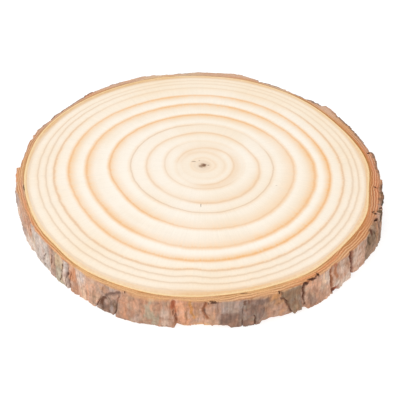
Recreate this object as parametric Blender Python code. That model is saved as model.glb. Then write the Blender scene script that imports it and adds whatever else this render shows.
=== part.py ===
"""A slice sawn across a log: pale ringed wood about 24 cm across and 22 mm thick, in its own scaly bark.

The slice lies on its lower sawn face, with +X to the right, +Y to the back and +Z up, and its origin under its middle.
Angles are in degrees, counter-clockwise from +X round the pith as seen from above. Other sizes are in millimetres.
"""

import math
import random
from dataclasses import dataclass

import bmesh
import bpy
from mathutils import Vector, noise

MM = 0.001

THICKNESS = 22.0
SKIN_LEFT_ON_WOOD = 0.8

# The outer edge of the wood, under the bark: angle, then distance from the pith
WOOD_EDGE = (
    (0, 111.6), (8, 111.2), (15, 110.6), (25, 110.0), (32, 110.4), (38, 111.2), (50, 112.8), (62, 114.2),
    (75, 116.3), (90, 117.6), (105, 119.8), (120, 121.2), (135, 122.0), (150, 122.4), (162, 122.2), (175, 120.3),
    (190, 118.8), (200, 117.6), (212, 117.3), (221, 116.9), (232, 118.4), (250, 118.7), (257, 118.8), (266, 118.1),
    (275, 116.9), (290, 116.1), (302, 116.0), (313, 113.8), (320, 113.2), (330, 113.3), (336, 112.7), (342, 111.2),
    (348, 110.4), (354, 111.0),
)

# How far the lower edge stands out beyond the upper one, because the log leaned in the saw
LOWER_FLARE = (
    (0, 0.3), (30, 0.4), (70, 0.4), (120, 0.2), (170, 0.4), (186, 0.6), (197, 2.0), (208, 1.9), (218, 3.0), (226, 2.0),
    (233, 1.2), (242, 0.3), (248, 0.6), (256, -0.6), (266, -0.4), (276, 0.3), (285, 0.6), (293, 1.4), (302, 2.7),
    (309, 2.6), (315, 1.0), (321, 2.3), (328, 3.0), (335, 3.0), (340, 1.8), (345, 1.8), (351, 0.8),
)


@dataclass(frozen=True)
class Plate:
    """One plate of bark. It runs counter-clockwise from its own fissure to that of the next plate."""

    start: float  # angle of its fissure at the upper edge
    lean: float  # how far round the fissure drifts on its way down
    depth: float  # depth of the fissure
    first_rim: float  # radius of the upper edge beside its own fissure
    last_rim: float  # radius of the upper edge beside the next fissure
    swell: float  # how far the middle of the plate stands out


PLATES = (
    Plate(8.0, 1.5, 1.1, 117.0, 116.6, 0.3),
    Plate(22.0, -1.0, 0.8, 117.3, 117.5, 0.4),
    Plate(31.0, -1.5, 1.0, 117.3, 119.1, 0.4),
    Plate(35.5, 0.5, 0.6, 119.3, 119.1, 0.6),
    Plate(39.5, 1.0, 1.3, 117.5, 117.0, 0.5),
    Plate(46.0, 0.5, 0.7, 115.8, 116.3, 0.2),
    Plate(56.0, -1.5, 0.6, 117.6, 118.2, 0.5),
    Plate(67.5, 1.0, 1.5, 119.0, 124.3, 0.8),
    Plate(75.0, -0.5, 1.3, 124.4, 124.4, 0.9),
    Plate(84.8, 1.0, 3.2, 124.4, 123.8, 1.3),
    Plate(94.0, -2.0, 0.9, 123.6, 123.6, 0.5),
    Plate(103.0, -0.5, 0.8, 124.6, 126.3, 0.5),
    Plate(109.0, 1.5, 0.6, 126.2, 127.2, 0.5),
    Plate(116.0, 1.0, 1.9, 127.0, 127.0, 0.8),
    Plate(122.0, -1.0, 1.5, 126.8, 128.0, 0.6),
    Plate(128.0, 0.5, 0.7, 127.9, 127.4, 0.4),
    Plate(132.0, -0.5, 0.8, 127.2, 128.3, 0.4),
    Plate(136.5, 1.5, 2.2, 126.6, 125.1, 0.5),
    Plate(146.0, -1.5, 0.8, 125.9, 125.7, 0.5),
    Plate(154.0, 1.0, 1.6, 125.8, 126.0, 0.5),
    Plate(159.0, 0.5, 0.6, 126.6, 126.8, 0.4),
    Plate(164.5, -1.0, 2.0, 125.9, 125.4, 0.5),
    Plate(170.0, 1.5, 0.8, 124.8, 123.9, 0.4),
    Plate(175.0, -0.5, 0.6, 124.0, 123.5, 0.4),
    Plate(180.5, -1.0, 1.8, 126.2, 124.8, 0.5),
    Plate(188.0, 1.0, 0.9, 124.1, 123.3, 0.5),
    Plate(196.0, -0.5, 0.7, 123.0, 122.2, 0.5),
    Plate(203.0, 0.5, 0.9, 121.9, 121.6, 0.5),
    Plate(209.0, 0.5, 0.8, 121.6, 120.3, 0.6),
    Plate(220.1, 0.7, 0.5, 120.4, 120.5, 0.5),
    Plate(222.6, 0.8, 0.9, 120.4, 120.6, 0.3),
    Plate(226.8, 0.2, 0.5, 120.9, 121.0, 0.3),
    Plate(229.2, 0.0, 1.6, 121.0, 121.3, 0.3),
    Plate(232.1, 0.9, 1.0, 121.4, 121.8, 0.4),
    Plate(236.3, 0.6, 0.5, 121.8, 122.0, 0.5),
    Plate(243.2, -3.9, 0.5, 122.0, 122.2, 0.3),
    Plate(247.4, -1.8, 0.6, 122.5, 122.3, 0.9),
    Plate(261.9, 1.0, 1.3, 121.6, 121.2, 0.4),
    Plate(266.3, 0.3, 0.3, 121.3, 121.6, 0.2),
    Plate(270.6, -0.4, 0.7, 121.8, 121.5, 0.3),
    Plate(273.8, 0.2, 0.3, 121.5, 121.6, 0.5),
    Plate(280.2, 0.4, 0.2, 122.0, 122.2, 0.4),
    Plate(287.0, -1.5, 0.2, 122.1, 121.7, 0.3),
    Plate(290.3, 4.6, 0.8, 121.5, 121.9, 0.4),
    Plate(297.5, -0.2, 1.4, 121.6, 120.7, 0.5),
    Plate(304.6, 0.8, 0.4, 120.7, 120.7, 0.2),
    Plate(307.6, 0.2, 1.4, 120.8, 120.3, 0.4),
    Plate(316.2, 2.0, 2.2, 120.0, 120.6, 0.5),
    Plate(325.8, -1.4, 0.8, 120.7, 121.2, 0.3),
    Plate(332.0, 0.5, 0.8, 121.3, 121.0, 0.3),
    Plate(340.0, -0.5, 1.0, 120.1, 119.5, 0.4),
    Plate(347.0, 0.5, 1.2, 119.4, 119.2, 0.4),
    Plate(353.0, -1.0, 1.0, 118.2, 118.7, 0.6),
)

# Where the lower edge of the bark is broken off: middle angle, half of its width in degrees, height
LOWER_CHIPS = (
    (58.0, 4.0, 1.8), (98.0, 5.0, 2.4), (139.0, 3.0, 1.6), (186.0, 4.0, 2.0), (243.8, 1.3, 0.9),
    (264.4, 2.2, 2.3), (269.4, 3.0, 4.4), (274.8, 2.6, 2.1), (289.5, 2.6, 1.2), (293.5, 4.0, 0.4), (297.4, 2.0, 2.0),
    (315.3, 2.0, 0.9), (345.0, 3.5, 1.5),
)

FISSURE_HALF_WIDTH = 1.3
NARROWEST_FISSURE = 0.3
WIDEST_FISSURE = 1.2
WIDER_BY_DEPTH = 0.4
FISSURE_STARTS_BELOW_RIM = 3.0
DEPTH_AT_RIM = 0.25
FISSURE_WANDER = 0.7
WANDER_HEIGHT = 8.0
LARGEST_LEDGE = 0.8
LEDGE_HEIGHT = 1.6
RELIEF = 0.5
RELIEF_WIDTH = 8.0
RELIEF_HEIGHT = 13.0
COLUMN_SPACING = 2.3
SIDE_ROWS = (0.0, 0.07, 0.19, 0.32, 0.45, 0.58, 0.71, 0.83, 0.93, 1.0)
SHARP_ANGLE = 35.0
COLOUR = (0.93, 0.78, 0.60, 1.0)
ROUGHNESS = 0.7


def smooth_step(value):
    """Rises from 0 to 1 without corners."""
    value = min(1.0, max(0.0, value))
    return value * value * (3 - 2 * value)


def on_curve(points, angle):
    """The value at an angle of a smooth closed curve through a few points."""
    angle %= 360
    count = len(points)
    after = next((i for i, point in enumerate(points) if point[0] > angle), count)
    near = []
    for i in range(after - 2, after + 2):
        near.append((points[i % count][0] + 360 * (i // count), points[i % count][1]))
    (a0, r0), (a1, r1), (a2, r2), (a3, r3) = near
    width = a2 - a1
    first_slope = (r2 - r0) / (a2 - a0) * width
    last_slope = (r3 - r1) / (a3 - a1) * width
    t = (angle - a1) / width
    return (
        (2 * t**3 - 3 * t**2 + 1) * r1
        + (t**3 - 2 * t**2 + t) * first_slope
        + (3 * t**2 - 2 * t**3) * r2
        + (t**3 - t**2) * last_slope
    )


def wood_radius(angle):
    """Distance of the wood's edge from the pith."""
    return on_curve(WOOD_EDGE, angle)


def fissure_angle(number, height):
    """Angle of a plate's fissure at a height. It leans and wanders; numbers past the last plate go on round."""
    plate = PLATES[number % len(PLATES)]
    below_rim = THICKNESS - height
    wander = FISSURE_WANDER * noise.noise(Vector((plate.start, 0, below_rim / WANDER_HEIGHT)))
    wander *= smooth_step(below_rim / FISSURE_STARTS_BELOW_RIM)
    return plate.start + plate.lean * below_rim / THICKNESS + wander + 360 * (number // len(PLATES))


def fissure_half(number):
    """Half of the width of a plate's fissure. Deep ones are wider."""
    depth = PLATES[number % len(PLATES)].depth
    return FISSURE_HALF_WIDTH * min(WIDEST_FISSURE, NARROWEST_FISSURE + WIDER_BY_DEPTH * depth)


def fissure_floor(number, height):
    """Distance of the floor of a plate's fissure from the pith."""
    deepening = DEPTH_AT_RIM + (1 - DEPTH_AT_RIM) * smooth_step((THICKNESS - height) / FISSURE_STARTS_BELOW_RIM)
    plate = PLATES[number]
    flare = on_curve(LOWER_FLARE, plate.start) * (1 - height / THICKNESS)
    return min(PLATES[number - 1].last_rim, plate.first_rim) + flare - plate.depth * deepening


def width_of(number):
    """Width of a plate along the upper edge."""
    turn = fissure_angle(number + 1, THICKNESS) - fissure_angle(number, THICKNESS)
    return math.radians(turn) * PLATES[number].first_rim


def chip_height(angle):
    """How far above the lower face the bark's lower edge is at this angle."""
    height = 0.0
    for middle, half_width, chip in LOWER_CHIPS:
        away = abs((angle - middle + 180) % 360 - 180)
        height = max(height, chip * smooth_step(2.5 * (1 - away / half_width)))
    return height


def ledges(number):
    """Heights and sizes of the two steps across a plate, where one scale ends and the next one begins."""
    draw = random.Random(number)
    for lowest, highest in ((0.2, 0.45), (0.55, 0.85)):
        yield THICKNESS * draw.uniform(lowest, highest), draw.uniform(-LARGEST_LEDGE, LARGEST_LEDGE)


def bark_radius(number, across, height):
    """Distance of the bark's surface from the pith, at a share of the way across a plate and a height."""
    plate = PLATES[number]
    angle = fissure_angle(number, height) * (1 - across) + fissure_angle(number + 1, height) * across
    share = height / THICKNESS
    radius = plate.first_rim + (plate.last_rim - plate.first_rim) * across
    radius += plate.swell * math.sin(math.pi * across) * math.sin(math.pi * min(1.0, 0.15 + 0.85 * share))
    radius += on_curve(LOWER_FLARE, angle) * (1 - share)
    for ledge_height, step in ledges(number):
        radius += step * smooth_step((ledge_height - height) / LEDGE_HEIGHT)
    turned = math.radians(angle)
    place = Vector((radius * math.cos(turned), radius * math.sin(turned), 0)) / RELIEF_WIDTH
    place.z = height / RELIEF_HEIGHT
    radius += RELIEF * noise.noise(place)
    if across == 0.0:
        radius = fissure_floor(number, height)
    return max(radius, wood_radius(angle) + SKIN_LEFT_ON_WOOD)


def columns():
    """The columns of vertices round the side, each as its plate's number and the share of the way across it."""
    placed = []
    for number in range(len(PLATES)):
        width = width_of(number)
        first_lip = fissure_half(number) / width
        face = 1 - first_lip - fissure_half(number + 1) / width
        cuts = max(1, round(face * width / COLUMN_SPACING))
        placed.append((number, 0.0))
        placed += [(number, first_lip + face * i / cuts) for i in range(cuts + 1)]
    return placed


def turned_blank(column_count):
    """A turned disc of one column for each step. Its radius is 0, 0.5 or 1, and its height runs from 0 to 1."""
    mesh = bmesh.new()
    profile = [(0.0, 0.0), (0.5, 0.0)] + [(1.0, share) for share in SIDE_ROWS] + [(0.5, 1.0), (0.0, 1.0)]
    points = [mesh.verts.new((radius, 0.0, height)) for radius, height in profile]
    for lower, upper in zip(points, points[1:]):
        mesh.edges.new((lower, upper))
    bmesh.ops.spin(
        mesh,
        geom=mesh.verts[:] + mesh.edges[:],
        cent=(0, 0, 0),
        axis=(0, 0, 1),
        angle=math.tau,
        steps=column_count,
        use_merge=True,
    )
    bmesh.ops.remove_doubles(mesh, verts=mesh.verts, dist=0.0001)
    bmesh.ops.recalc_face_normals(mesh, faces=mesh.faces)
    return mesh


def shape_slice(mesh, placed):
    """Moves each vertex of the blank to its place on the wood's edge or on the bark."""
    for vertex in mesh.verts:
        reach = math.hypot(vertex.co.x, vertex.co.y)
        share = vertex.co.z
        if reach < 0.25:
            vertex.co = Vector((0, 0, share * THICKNESS)) * MM
            continue
        turn = math.atan2(vertex.co.y, vertex.co.x) / math.tau
        number, across = placed[round(turn * len(placed)) % len(placed)]
        height = share * THICKNESS
        if reach > 0.75:
            lower_edge = chip_height(fissure_angle(number, 0) * (1 - across) + fissure_angle(number + 1, 0) * across)
            height = lower_edge + share * (THICKNESS - lower_edge)
        angle = fissure_angle(number, height) * (1 - across) + fissure_angle(number + 1, height) * across
        radius = bark_radius(number, across, height) if reach > 0.75 else wood_radius(angle)
        turned = math.radians(angle)
        vertex.co = Vector((radius * math.cos(turned), radius * math.sin(turned), height)) * MM


def centre_on_origin(mesh):
    """Slides the slice sideways until the middle of its box is over the origin."""
    for axis in (0, 1):
        places = [vertex.co[axis] for vertex in mesh.verts]
        middle = (min(places) + max(places)) / 2
        for vertex in mesh.verts:
            vertex.co[axis] -= middle


def pale_wood():
    """The plain colour of the slice."""
    material = bpy.data.materials.new("pale_wood")
    material.use_nodes = True
    shader = material.node_tree.nodes["Principled BSDF"]
    shader.inputs["Base Color"].default_value = COLOUR
    shader.inputs["Roughness"].default_value = ROUGHNESS
    shader.inputs["Metallic"].default_value = 0.0
    return material


def clear_scene():
    """Removes whatever the scene starts with."""
    for thing in list(bpy.data.objects):
        bpy.data.objects.remove(thing)


def build_slice():
    """Makes the slice and puts it in its collection."""
    placed = columns()
    shape = turned_blank(len(placed))
    shape_slice(shape, placed)
    centre_on_origin(shape)
    data = bpy.data.meshes.new("wood_slice")
    shape.to_mesh(data)
    shape.free()
    data.shade_smooth()
    data.set_sharp_from_angle(angle=math.radians(SHARP_ANGLE))
    data.materials.append(pale_wood())
    collection = bpy.data.collections.new("wood_slice_parts")
    bpy.context.scene.collection.children.link(collection)
    collection.objects.link(bpy.data.objects.new("wood_slice", data))


clear_scene()
build_slice()
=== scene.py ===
"""Dresses a slice sawn across a log: a sanded disc of ringed wood, and the rough, scaly bark that it grew in.

Angles are in degrees, counter-clockwise from +X round the pith as seen from above. Sizes are in millimetres
until a mesh or a material needs metres. The slice lies on its lower sawn face, at z = 0.
"""

import logging
import math
import random
from dataclasses import dataclass, field
from enum import Enum
from typing import Sequence

import bmesh
import bpy
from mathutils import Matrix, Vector, noise

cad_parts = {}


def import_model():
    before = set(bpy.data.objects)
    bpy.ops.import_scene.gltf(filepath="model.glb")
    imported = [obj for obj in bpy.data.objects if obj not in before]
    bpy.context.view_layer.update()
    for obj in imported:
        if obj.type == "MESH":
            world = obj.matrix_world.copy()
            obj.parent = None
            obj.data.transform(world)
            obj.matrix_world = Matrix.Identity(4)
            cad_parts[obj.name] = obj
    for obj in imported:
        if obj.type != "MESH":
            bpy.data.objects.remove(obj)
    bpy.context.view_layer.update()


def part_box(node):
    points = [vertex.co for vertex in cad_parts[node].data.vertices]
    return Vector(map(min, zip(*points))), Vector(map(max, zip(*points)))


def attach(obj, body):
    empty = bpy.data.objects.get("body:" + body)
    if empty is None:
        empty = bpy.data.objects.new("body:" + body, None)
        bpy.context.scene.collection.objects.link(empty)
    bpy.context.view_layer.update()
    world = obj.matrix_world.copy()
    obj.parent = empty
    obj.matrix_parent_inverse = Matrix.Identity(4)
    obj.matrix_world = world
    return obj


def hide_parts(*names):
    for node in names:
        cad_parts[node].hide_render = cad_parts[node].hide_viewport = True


log = logging.getLogger("wood_slice")

Socket = bpy.types.NodeSocket
Colour = tuple[float, ...]

MM = 0.001
THICKNESS = 22.0
FULL_TURN = 360.0
FLAT_MM = (1000.0, 1000.0, 0.0)  # turns metres into millimetres and drops the height
CARRIED_MM = 10.0  # a colour attribute carries lengths in units of this many millimetres


def smooth_step(value: float) -> float:
    """Rises from 0 to 1 without corners."""
    value = min(1.0, max(0.0, value))
    return value * value * (3 - 2 * value)


@dataclass
class LoopCurve:
    """A smooth closed curve through a few points, read by angle."""

    points: Sequence[tuple[float, float]]  # angle and value, in order of angle
    steps: int = 1440
    table: list[float] = field(init=False, repr=False)

    def __post_init__(self) -> None:
        """Works out the curve at even steps, between which it is read in straight lines."""
        self.table = [self.between_points(FULL_TURN * i / self.steps) for i in range(self.steps)]

    def between_points(self, angle: float) -> float:
        """The value on the cubic between the two points that lie on either side of an angle."""
        count = len(self.points)
        after = next((i for i, point in enumerate(self.points) if point[0] > angle), count)
        near = []
        for i in range(after - 2, after + 2):
            near.append((self.points[i % count][0] + FULL_TURN * (i // count), self.points[i % count][1]))
        (a0, r0), (a1, r1), (a2, r2), (a3, r3) = near
        width = a2 - a1
        first_slope = (r2 - r0) / (a2 - a0) * width
        last_slope = (r3 - r1) / (a3 - a1) * width
        t = (angle - a1) / width
        return (
            (2 * t**3 - 3 * t**2 + 1) * r1
            + (t**3 - 2 * t**2 + t) * first_slope
            + (3 * t**2 - 2 * t**3) * r2
            + (t**3 - t**2) * last_slope
        )

    def at(self, angle: float) -> float:
        """The value of the curve at an angle."""
        whole, part = divmod(angle % FULL_TURN * self.steps / FULL_TURN, 1)
        first = self.table[int(whole) % self.steps]
        return first + (self.table[(int(whole) + 1) % self.steps] - first) * part


def turn_between(first: float, second: float) -> float:
    """The shorter way round from the second angle to the first, in degrees, signed."""
    return (first - second + 180) % FULL_TURN - 180


def round_pith(angle: float, radius: float, height: float = 0.0) -> Vector:
    """The point at an angle, a distance from the pith and a height."""
    turned = math.radians(angle)
    return Vector((radius * math.cos(turned), radius * math.sin(turned), height))


def highest_bump(bumps: Sequence[tuple[float, float, float]], angle: float, steepness: float) -> float:
    """Height at an angle of soft bumps, each given by its middle, half of its width and its height."""
    heights = [0.0]
    for middle, half_width, height in bumps:
        heights.append(height * smooth_step(steepness * (1 - abs(turn_between(angle, middle)) / half_width)))
    return max(heights)


def upright_noise(place: Vector, across: float, up: float, shift: Sequence[float] = (0, 0, 0)) -> float:
    """Noise from about -1 to 1 at a place, in marks of one size across and another upwards."""
    return noise.noise(Vector((place.x / across, place.y / across, place.z / up)) + Vector(shift))


def linear(red: int, green: int, blue: int) -> tuple[float, float, float, float]:
    """Turns a colour as a screen names it, 0 to 255, into the linear colour that a shader takes."""
    parts = [value / 255 for value in (red, green, blue)]
    parts = [part / 12.92 if part <= 0.04045 else ((part + 0.055) / 1.055) ** 2.4 for part in parts]
    return parts[0], parts[1], parts[2], 1.0


def blend_colours(first: Sequence[float], second: Sequence[float], share: float) -> Colour:
    """Mixes two colours by a share from 0 to 1."""
    share = min(1.0, max(0.0, share))
    return tuple(a + (b - a) * share for a, b in zip(first, second))


def rolled_grid(columns: int, rows: int) -> tuple[bmesh.types.BMesh, list[tuple[int, int]]]:
    """Starts a round shape from a flat grid, which its maker rolls up by moving the points.

    Args:
        columns: Steps round the shape.
        rows: Steps along its section.

    Returns:
        The grid, and the column and row of every point. The last ones of each come to lie on the first.
    """
    mesh = bmesh.new()
    bmesh.ops.create_grid(mesh, x_segments=columns, y_segments=rows, size=0.5)
    mesh.verts.index_update()
    grid = [(round((v.co.x + 0.5) * columns), round((v.co.y + 0.5) * rows)) for v in mesh.verts]
    return mesh, grid


def close_seams(mesh: bmesh.types.BMesh) -> None:
    """Merges the edges of a rolled grid and turns its faces outwards."""
    bmesh.ops.remove_doubles(mesh, verts=mesh.verts, dist=0.002 * MM)
    bmesh.ops.recalc_face_normals(mesh, faces=mesh.faces)


class Tone(Enum):
    """Colours of the bark's weathered face and of its fresh layers, and the painted shade of its crevices."""

    ASH = linear(212, 201, 194)
    DOVE = linear(188, 170, 163)
    MAUVE = linear(184, 155, 142)
    BLUSH = linear(224, 200, 184)
    ROSE = linear(214, 174, 151)
    PEACH = linear(232, 175, 141)
    CREAM = linear(238, 206, 180)
    SAND = linear(214, 192, 162)
    SAGE = linear(184, 174, 152)
    STRAW = linear(196, 148, 110)
    SALMON = linear(222, 162, 128)
    FAWN = linear(188, 148, 126)
    SLATE = linear(174, 155, 147)
    AMBER = linear(214, 150, 84)
    BRICK = linear(178, 96, 62)
    CLAY = linear(196, 150, 124)
    STONE = linear(168, 142, 124)
    OLIVE = linear(146, 119, 96)
    UMBER = linear(140, 114, 102)
    COCOA = linear(116, 86, 68)
    RUST = linear(176, 112, 74)
    # painted shade laid in the fissures, cracks and pits
    CREVICE_SHADE = linear(104, 58, 40)
    HONEY = linear(230, 180, 126)
    TAWNY = linear(216, 162, 116)
    GINGER = linear(208, 144, 96)
    CHESTNUT = linear(198, 132, 78)
    BISCUIT = linear(214, 176, 150)
    WHEAT = linear(236, 204, 164)
    OAT = linear(213, 188, 162)
    COPPER = linear(190, 132, 98)
    LILAC = linear(202, 188, 184)
    MOSS = linear(88, 76, 58)
    # a dark red-brown, laid in deep cracks as partly painted shade
    SIENNA_AND_SHADE = linear(146, 80, 56)


WOOD_EDGE = (
    (0, 111.6), (8, 111.0), (15, 110.1), (25, 109.3), (32, 109.7), (38, 110.6), (50, 112.5), (62, 114.2),
    (75, 116.3), (90, 117.6), (105, 119.8), (120, 121.2), (135, 122.0), (150, 122.4), (162, 122.2),
    (175, 120.3), (190, 118.8), (200, 117.6), (212, 117.3), (221, 116.9), (232, 118.4), (250, 118.7),
    (257, 118.8), (266, 118.1), (275, 116.9), (290, 116.1), (302, 116.0), (313, 113.8), (320, 113.2),
    (330, 113.3), (336, 112.7), (342, 111.2), (348, 110.4), (354, 111.0),
)

# How far the lower edge stands out beyond the upper one, because the log leaned in the saw
LOWER_FLARE = (
    (0, 0.3), (30, 0.4), (70, 0.4), (120, 0.2), (170, 0.4), (186, 0.6), (197, 2.0), (208, 1.9), (218, 3.0),
    (226, 2.0), (233, 1.2), (242, 0.3), (248, 0.6), (256, -0.6), (266, -0.4), (276, 0.3), (285, 0.6),
    (293, 1.4), (302, 2.7), (309, 2.6), (315, 1.0), (321, 2.3), (328, 3.0), (335, 3.0), (340, 1.8),
    (345, 1.8), (351, 0.8),
)


@dataclass(frozen=True)
class GrowthRing:
    """One year's ring: where its dark outer edge runs and how strong it shows."""

    radii: tuple[float, ...]  # distance from the pith at equal steps of angle
    band: float  # strength of the soft tan band inside the edge
    line: float  # strength of the thin brown line at the edge
    width: float  # width of the soft band
    faint_at: float = 0.0  # where the ring almost fades out
    faint_half: float = 1.0  # half of the angle over which it does
    faintness: float = 0.0  # how much of its strength it loses there

    def curve(self) -> LoopCurve:
        """The ring's outer edge as a closed curve."""
        step = FULL_TURN / len(self.radii)
        return LoopCurve([(i * step, radius) for i, radius in enumerate(self.radii)])

    def strength(self, angle: float) -> float:
        """How much of the ring's strength is left at an angle, from 0 to 1."""
        away = abs(turn_between(angle, self.faint_at)) / self.faint_half
        return 1 - self.faintness * (1 - smooth_step((away - 0.7) / 0.6))


RINGS = (
    GrowthRing((5.2, 5.0, 5.6, 6.0, 6.4, 6.0, 5.8, 5.4), 0.16, 0.12, 2.0),
    GrowthRing((8.5, 8.0, 8.6, 8.5, 8.0, 7.6, 7.2, 7.6), 0.24, 0.08, 3.5),
    GrowthRing((14.6, 14.2, 15.0, 15.2, 14.2, 13.8, 13.6, 14.4), 0.18, 0.08, 4.0, 240, 90, 0.6),
    GrowthRing((20.8, 21.4, 20.0, 18.6, 17.4, 18.6, 20.8, 20.8), 0.27, 0.18, 3.0, 212, 46, 0.8),
    GrowthRing((26.8, 26.4, 27.4, 28.2, 25.8, 24.9, 24.8, 26.0), 0.24, 0.24, 3.4, 40, 88, 0.9),
    GrowthRing(
        (38.0, 35.8, 37.3, 38.8, 38.6, 39.2, 38.3, 37.5, 37.4, 39.2, 40.1, 39.6),
        0.37, 0.26, 3.6, 240, 18, 0.3,
    ),
    GrowthRing(
        (47.4, 46.0, 47.0, 48.6, 49.6, 49.8, 49.0, 47.2, 46.8, 48.4, 48.5, 47.5),
        0.22, 0.40, 2.6, 60, 36, 0.7,
    ),
    GrowthRing(
        (61.2, 59.4, 59.5, 61.8, 62.5, 64.2, 63.2, 59.4, 61.0, 63.2, 64.0, 62.0),
        0.68, 0.42, 6.2, 325, 75, 0.35,
    ),
    GrowthRing(
        (75.0, 72.0, 73.2, 76.5, 77.5, 79.6, 78.8, 76.3, 78.0, 79.8, 78.5, 76.3),
        0.70, 0.34, 6.4, 270, 24, 0.28,
    ),
    GrowthRing(
        (84.8, 83.0, 86.0, 88.8, 90.4, 92.2, 90.6, 87.5, 89.5, 90.5, 89.0, 86.5),
        0.80, 0.42, 4.8, 150, 110, 0.18,
    ),
    GrowthRing(
        (93.8, 93.0, 96.4, 100.0, 101.5, 102.0, 100.6, 98.0, 99.2, 98.8, 97.6, 95.4),
        0.40, 0.44, 2.4, 95, 50, 0.6,
    ),
    GrowthRing(
        (99.7, 98.5, 102.5, 106.0, 108.0, 108.5, 105.8, 103.4, 104.2, 104.2, 102.8, 101.0),
        0.16, 0.34, 2.2, 70, 60, 0.4,
    ),
    GrowthRing(
        (103.9, 103.2, 106.5, 110.5, 112.0, 112.8, 111.0, 108.4, 109.4, 109.2, 107.4, 105.0),
        0.18, 0.34, 2.2, 80, 60, 0.4,
    ),
    GrowthRing(
        (108.2, 107.4, 111.2, 114.6, 117.0, 118.4, 117.6, 115.2, 115.6, 114.2, 112.6, 110.0),
        0.20, 0.26, 2.6, 130, 20, 0.3,
    ),
)


@dataclass(frozen=True)
class Mark:
    """A dark spot in the wood: the pith itself, or a speck near it."""

    x: float
    y: float
    half_length: float
    half_width: float
    strength: float


MARKS = (
    Mark(0.9, 0.3, 1.5, 1.5, 0.95), Mark(-1.4, -0.7, 1.8, 1.5, 0.6), Mark(-0.4, 1.6, 1.2, 0.8, 0.5),
    Mark(3.7, 0.3, 0.7, 0.6, 0.6), Mark(-6.4, 4.4, 1.5, 0.6, 0.55), Mark(-2.4, 5.5, 0.6, 0.5, 0.45),
    Mark(-1.5, -41.2, 0.4, 1.5, 0.5), Mark(48.0, -21.4, 0.7, 0.4, 0.35),
)


@dataclass(frozen=True)
class Stain:
    """A soft darker zone in the wood on one side of the pith."""

    towards: float  # angle at which it shows most
    spread: float  # how far round it reaches from there, in degrees
    rise: tuple[float, float]  # distances from the pith between which it comes up
    fall: tuple[float, float]  # and between which it fades
    strength: float


STAINS = (
    Stain(326, 96, (19.8, 21.2), (22.4, 28.0), 0.5), Stain(92, 56, (9.0, 18.5), (20.2, 27.0), 0.32),
    Stain(142, 36, (14.0, 18.0), (18.6, 22.0), 0.3), Stain(296, 62, (31.0, 37.5), (39.2, 40.6), 0.22),
    Stain(280, 26, (109.0, 117.0), (130.0, 131.0), 0.58),
)


@dataclass(frozen=True)
class Plate:
    """One plate of bark. It runs counter-clockwise from its own fissure to that of the next plate."""

    start: float  # angle of its fissure at the upper edge
    lean: float  # how far round the fissure drifts on its way down
    depth: float  # depth of the fissure
    first_rim: float  # radius of the upper edge beside its own fissure
    last_rim: float  # radius of the upper edge beside the next fissure
    swell: float  # how far the middle of the plate stands out
    upper: Tone  # colour of its upper part
    lower: Tone  # colour of its lower part


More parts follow.
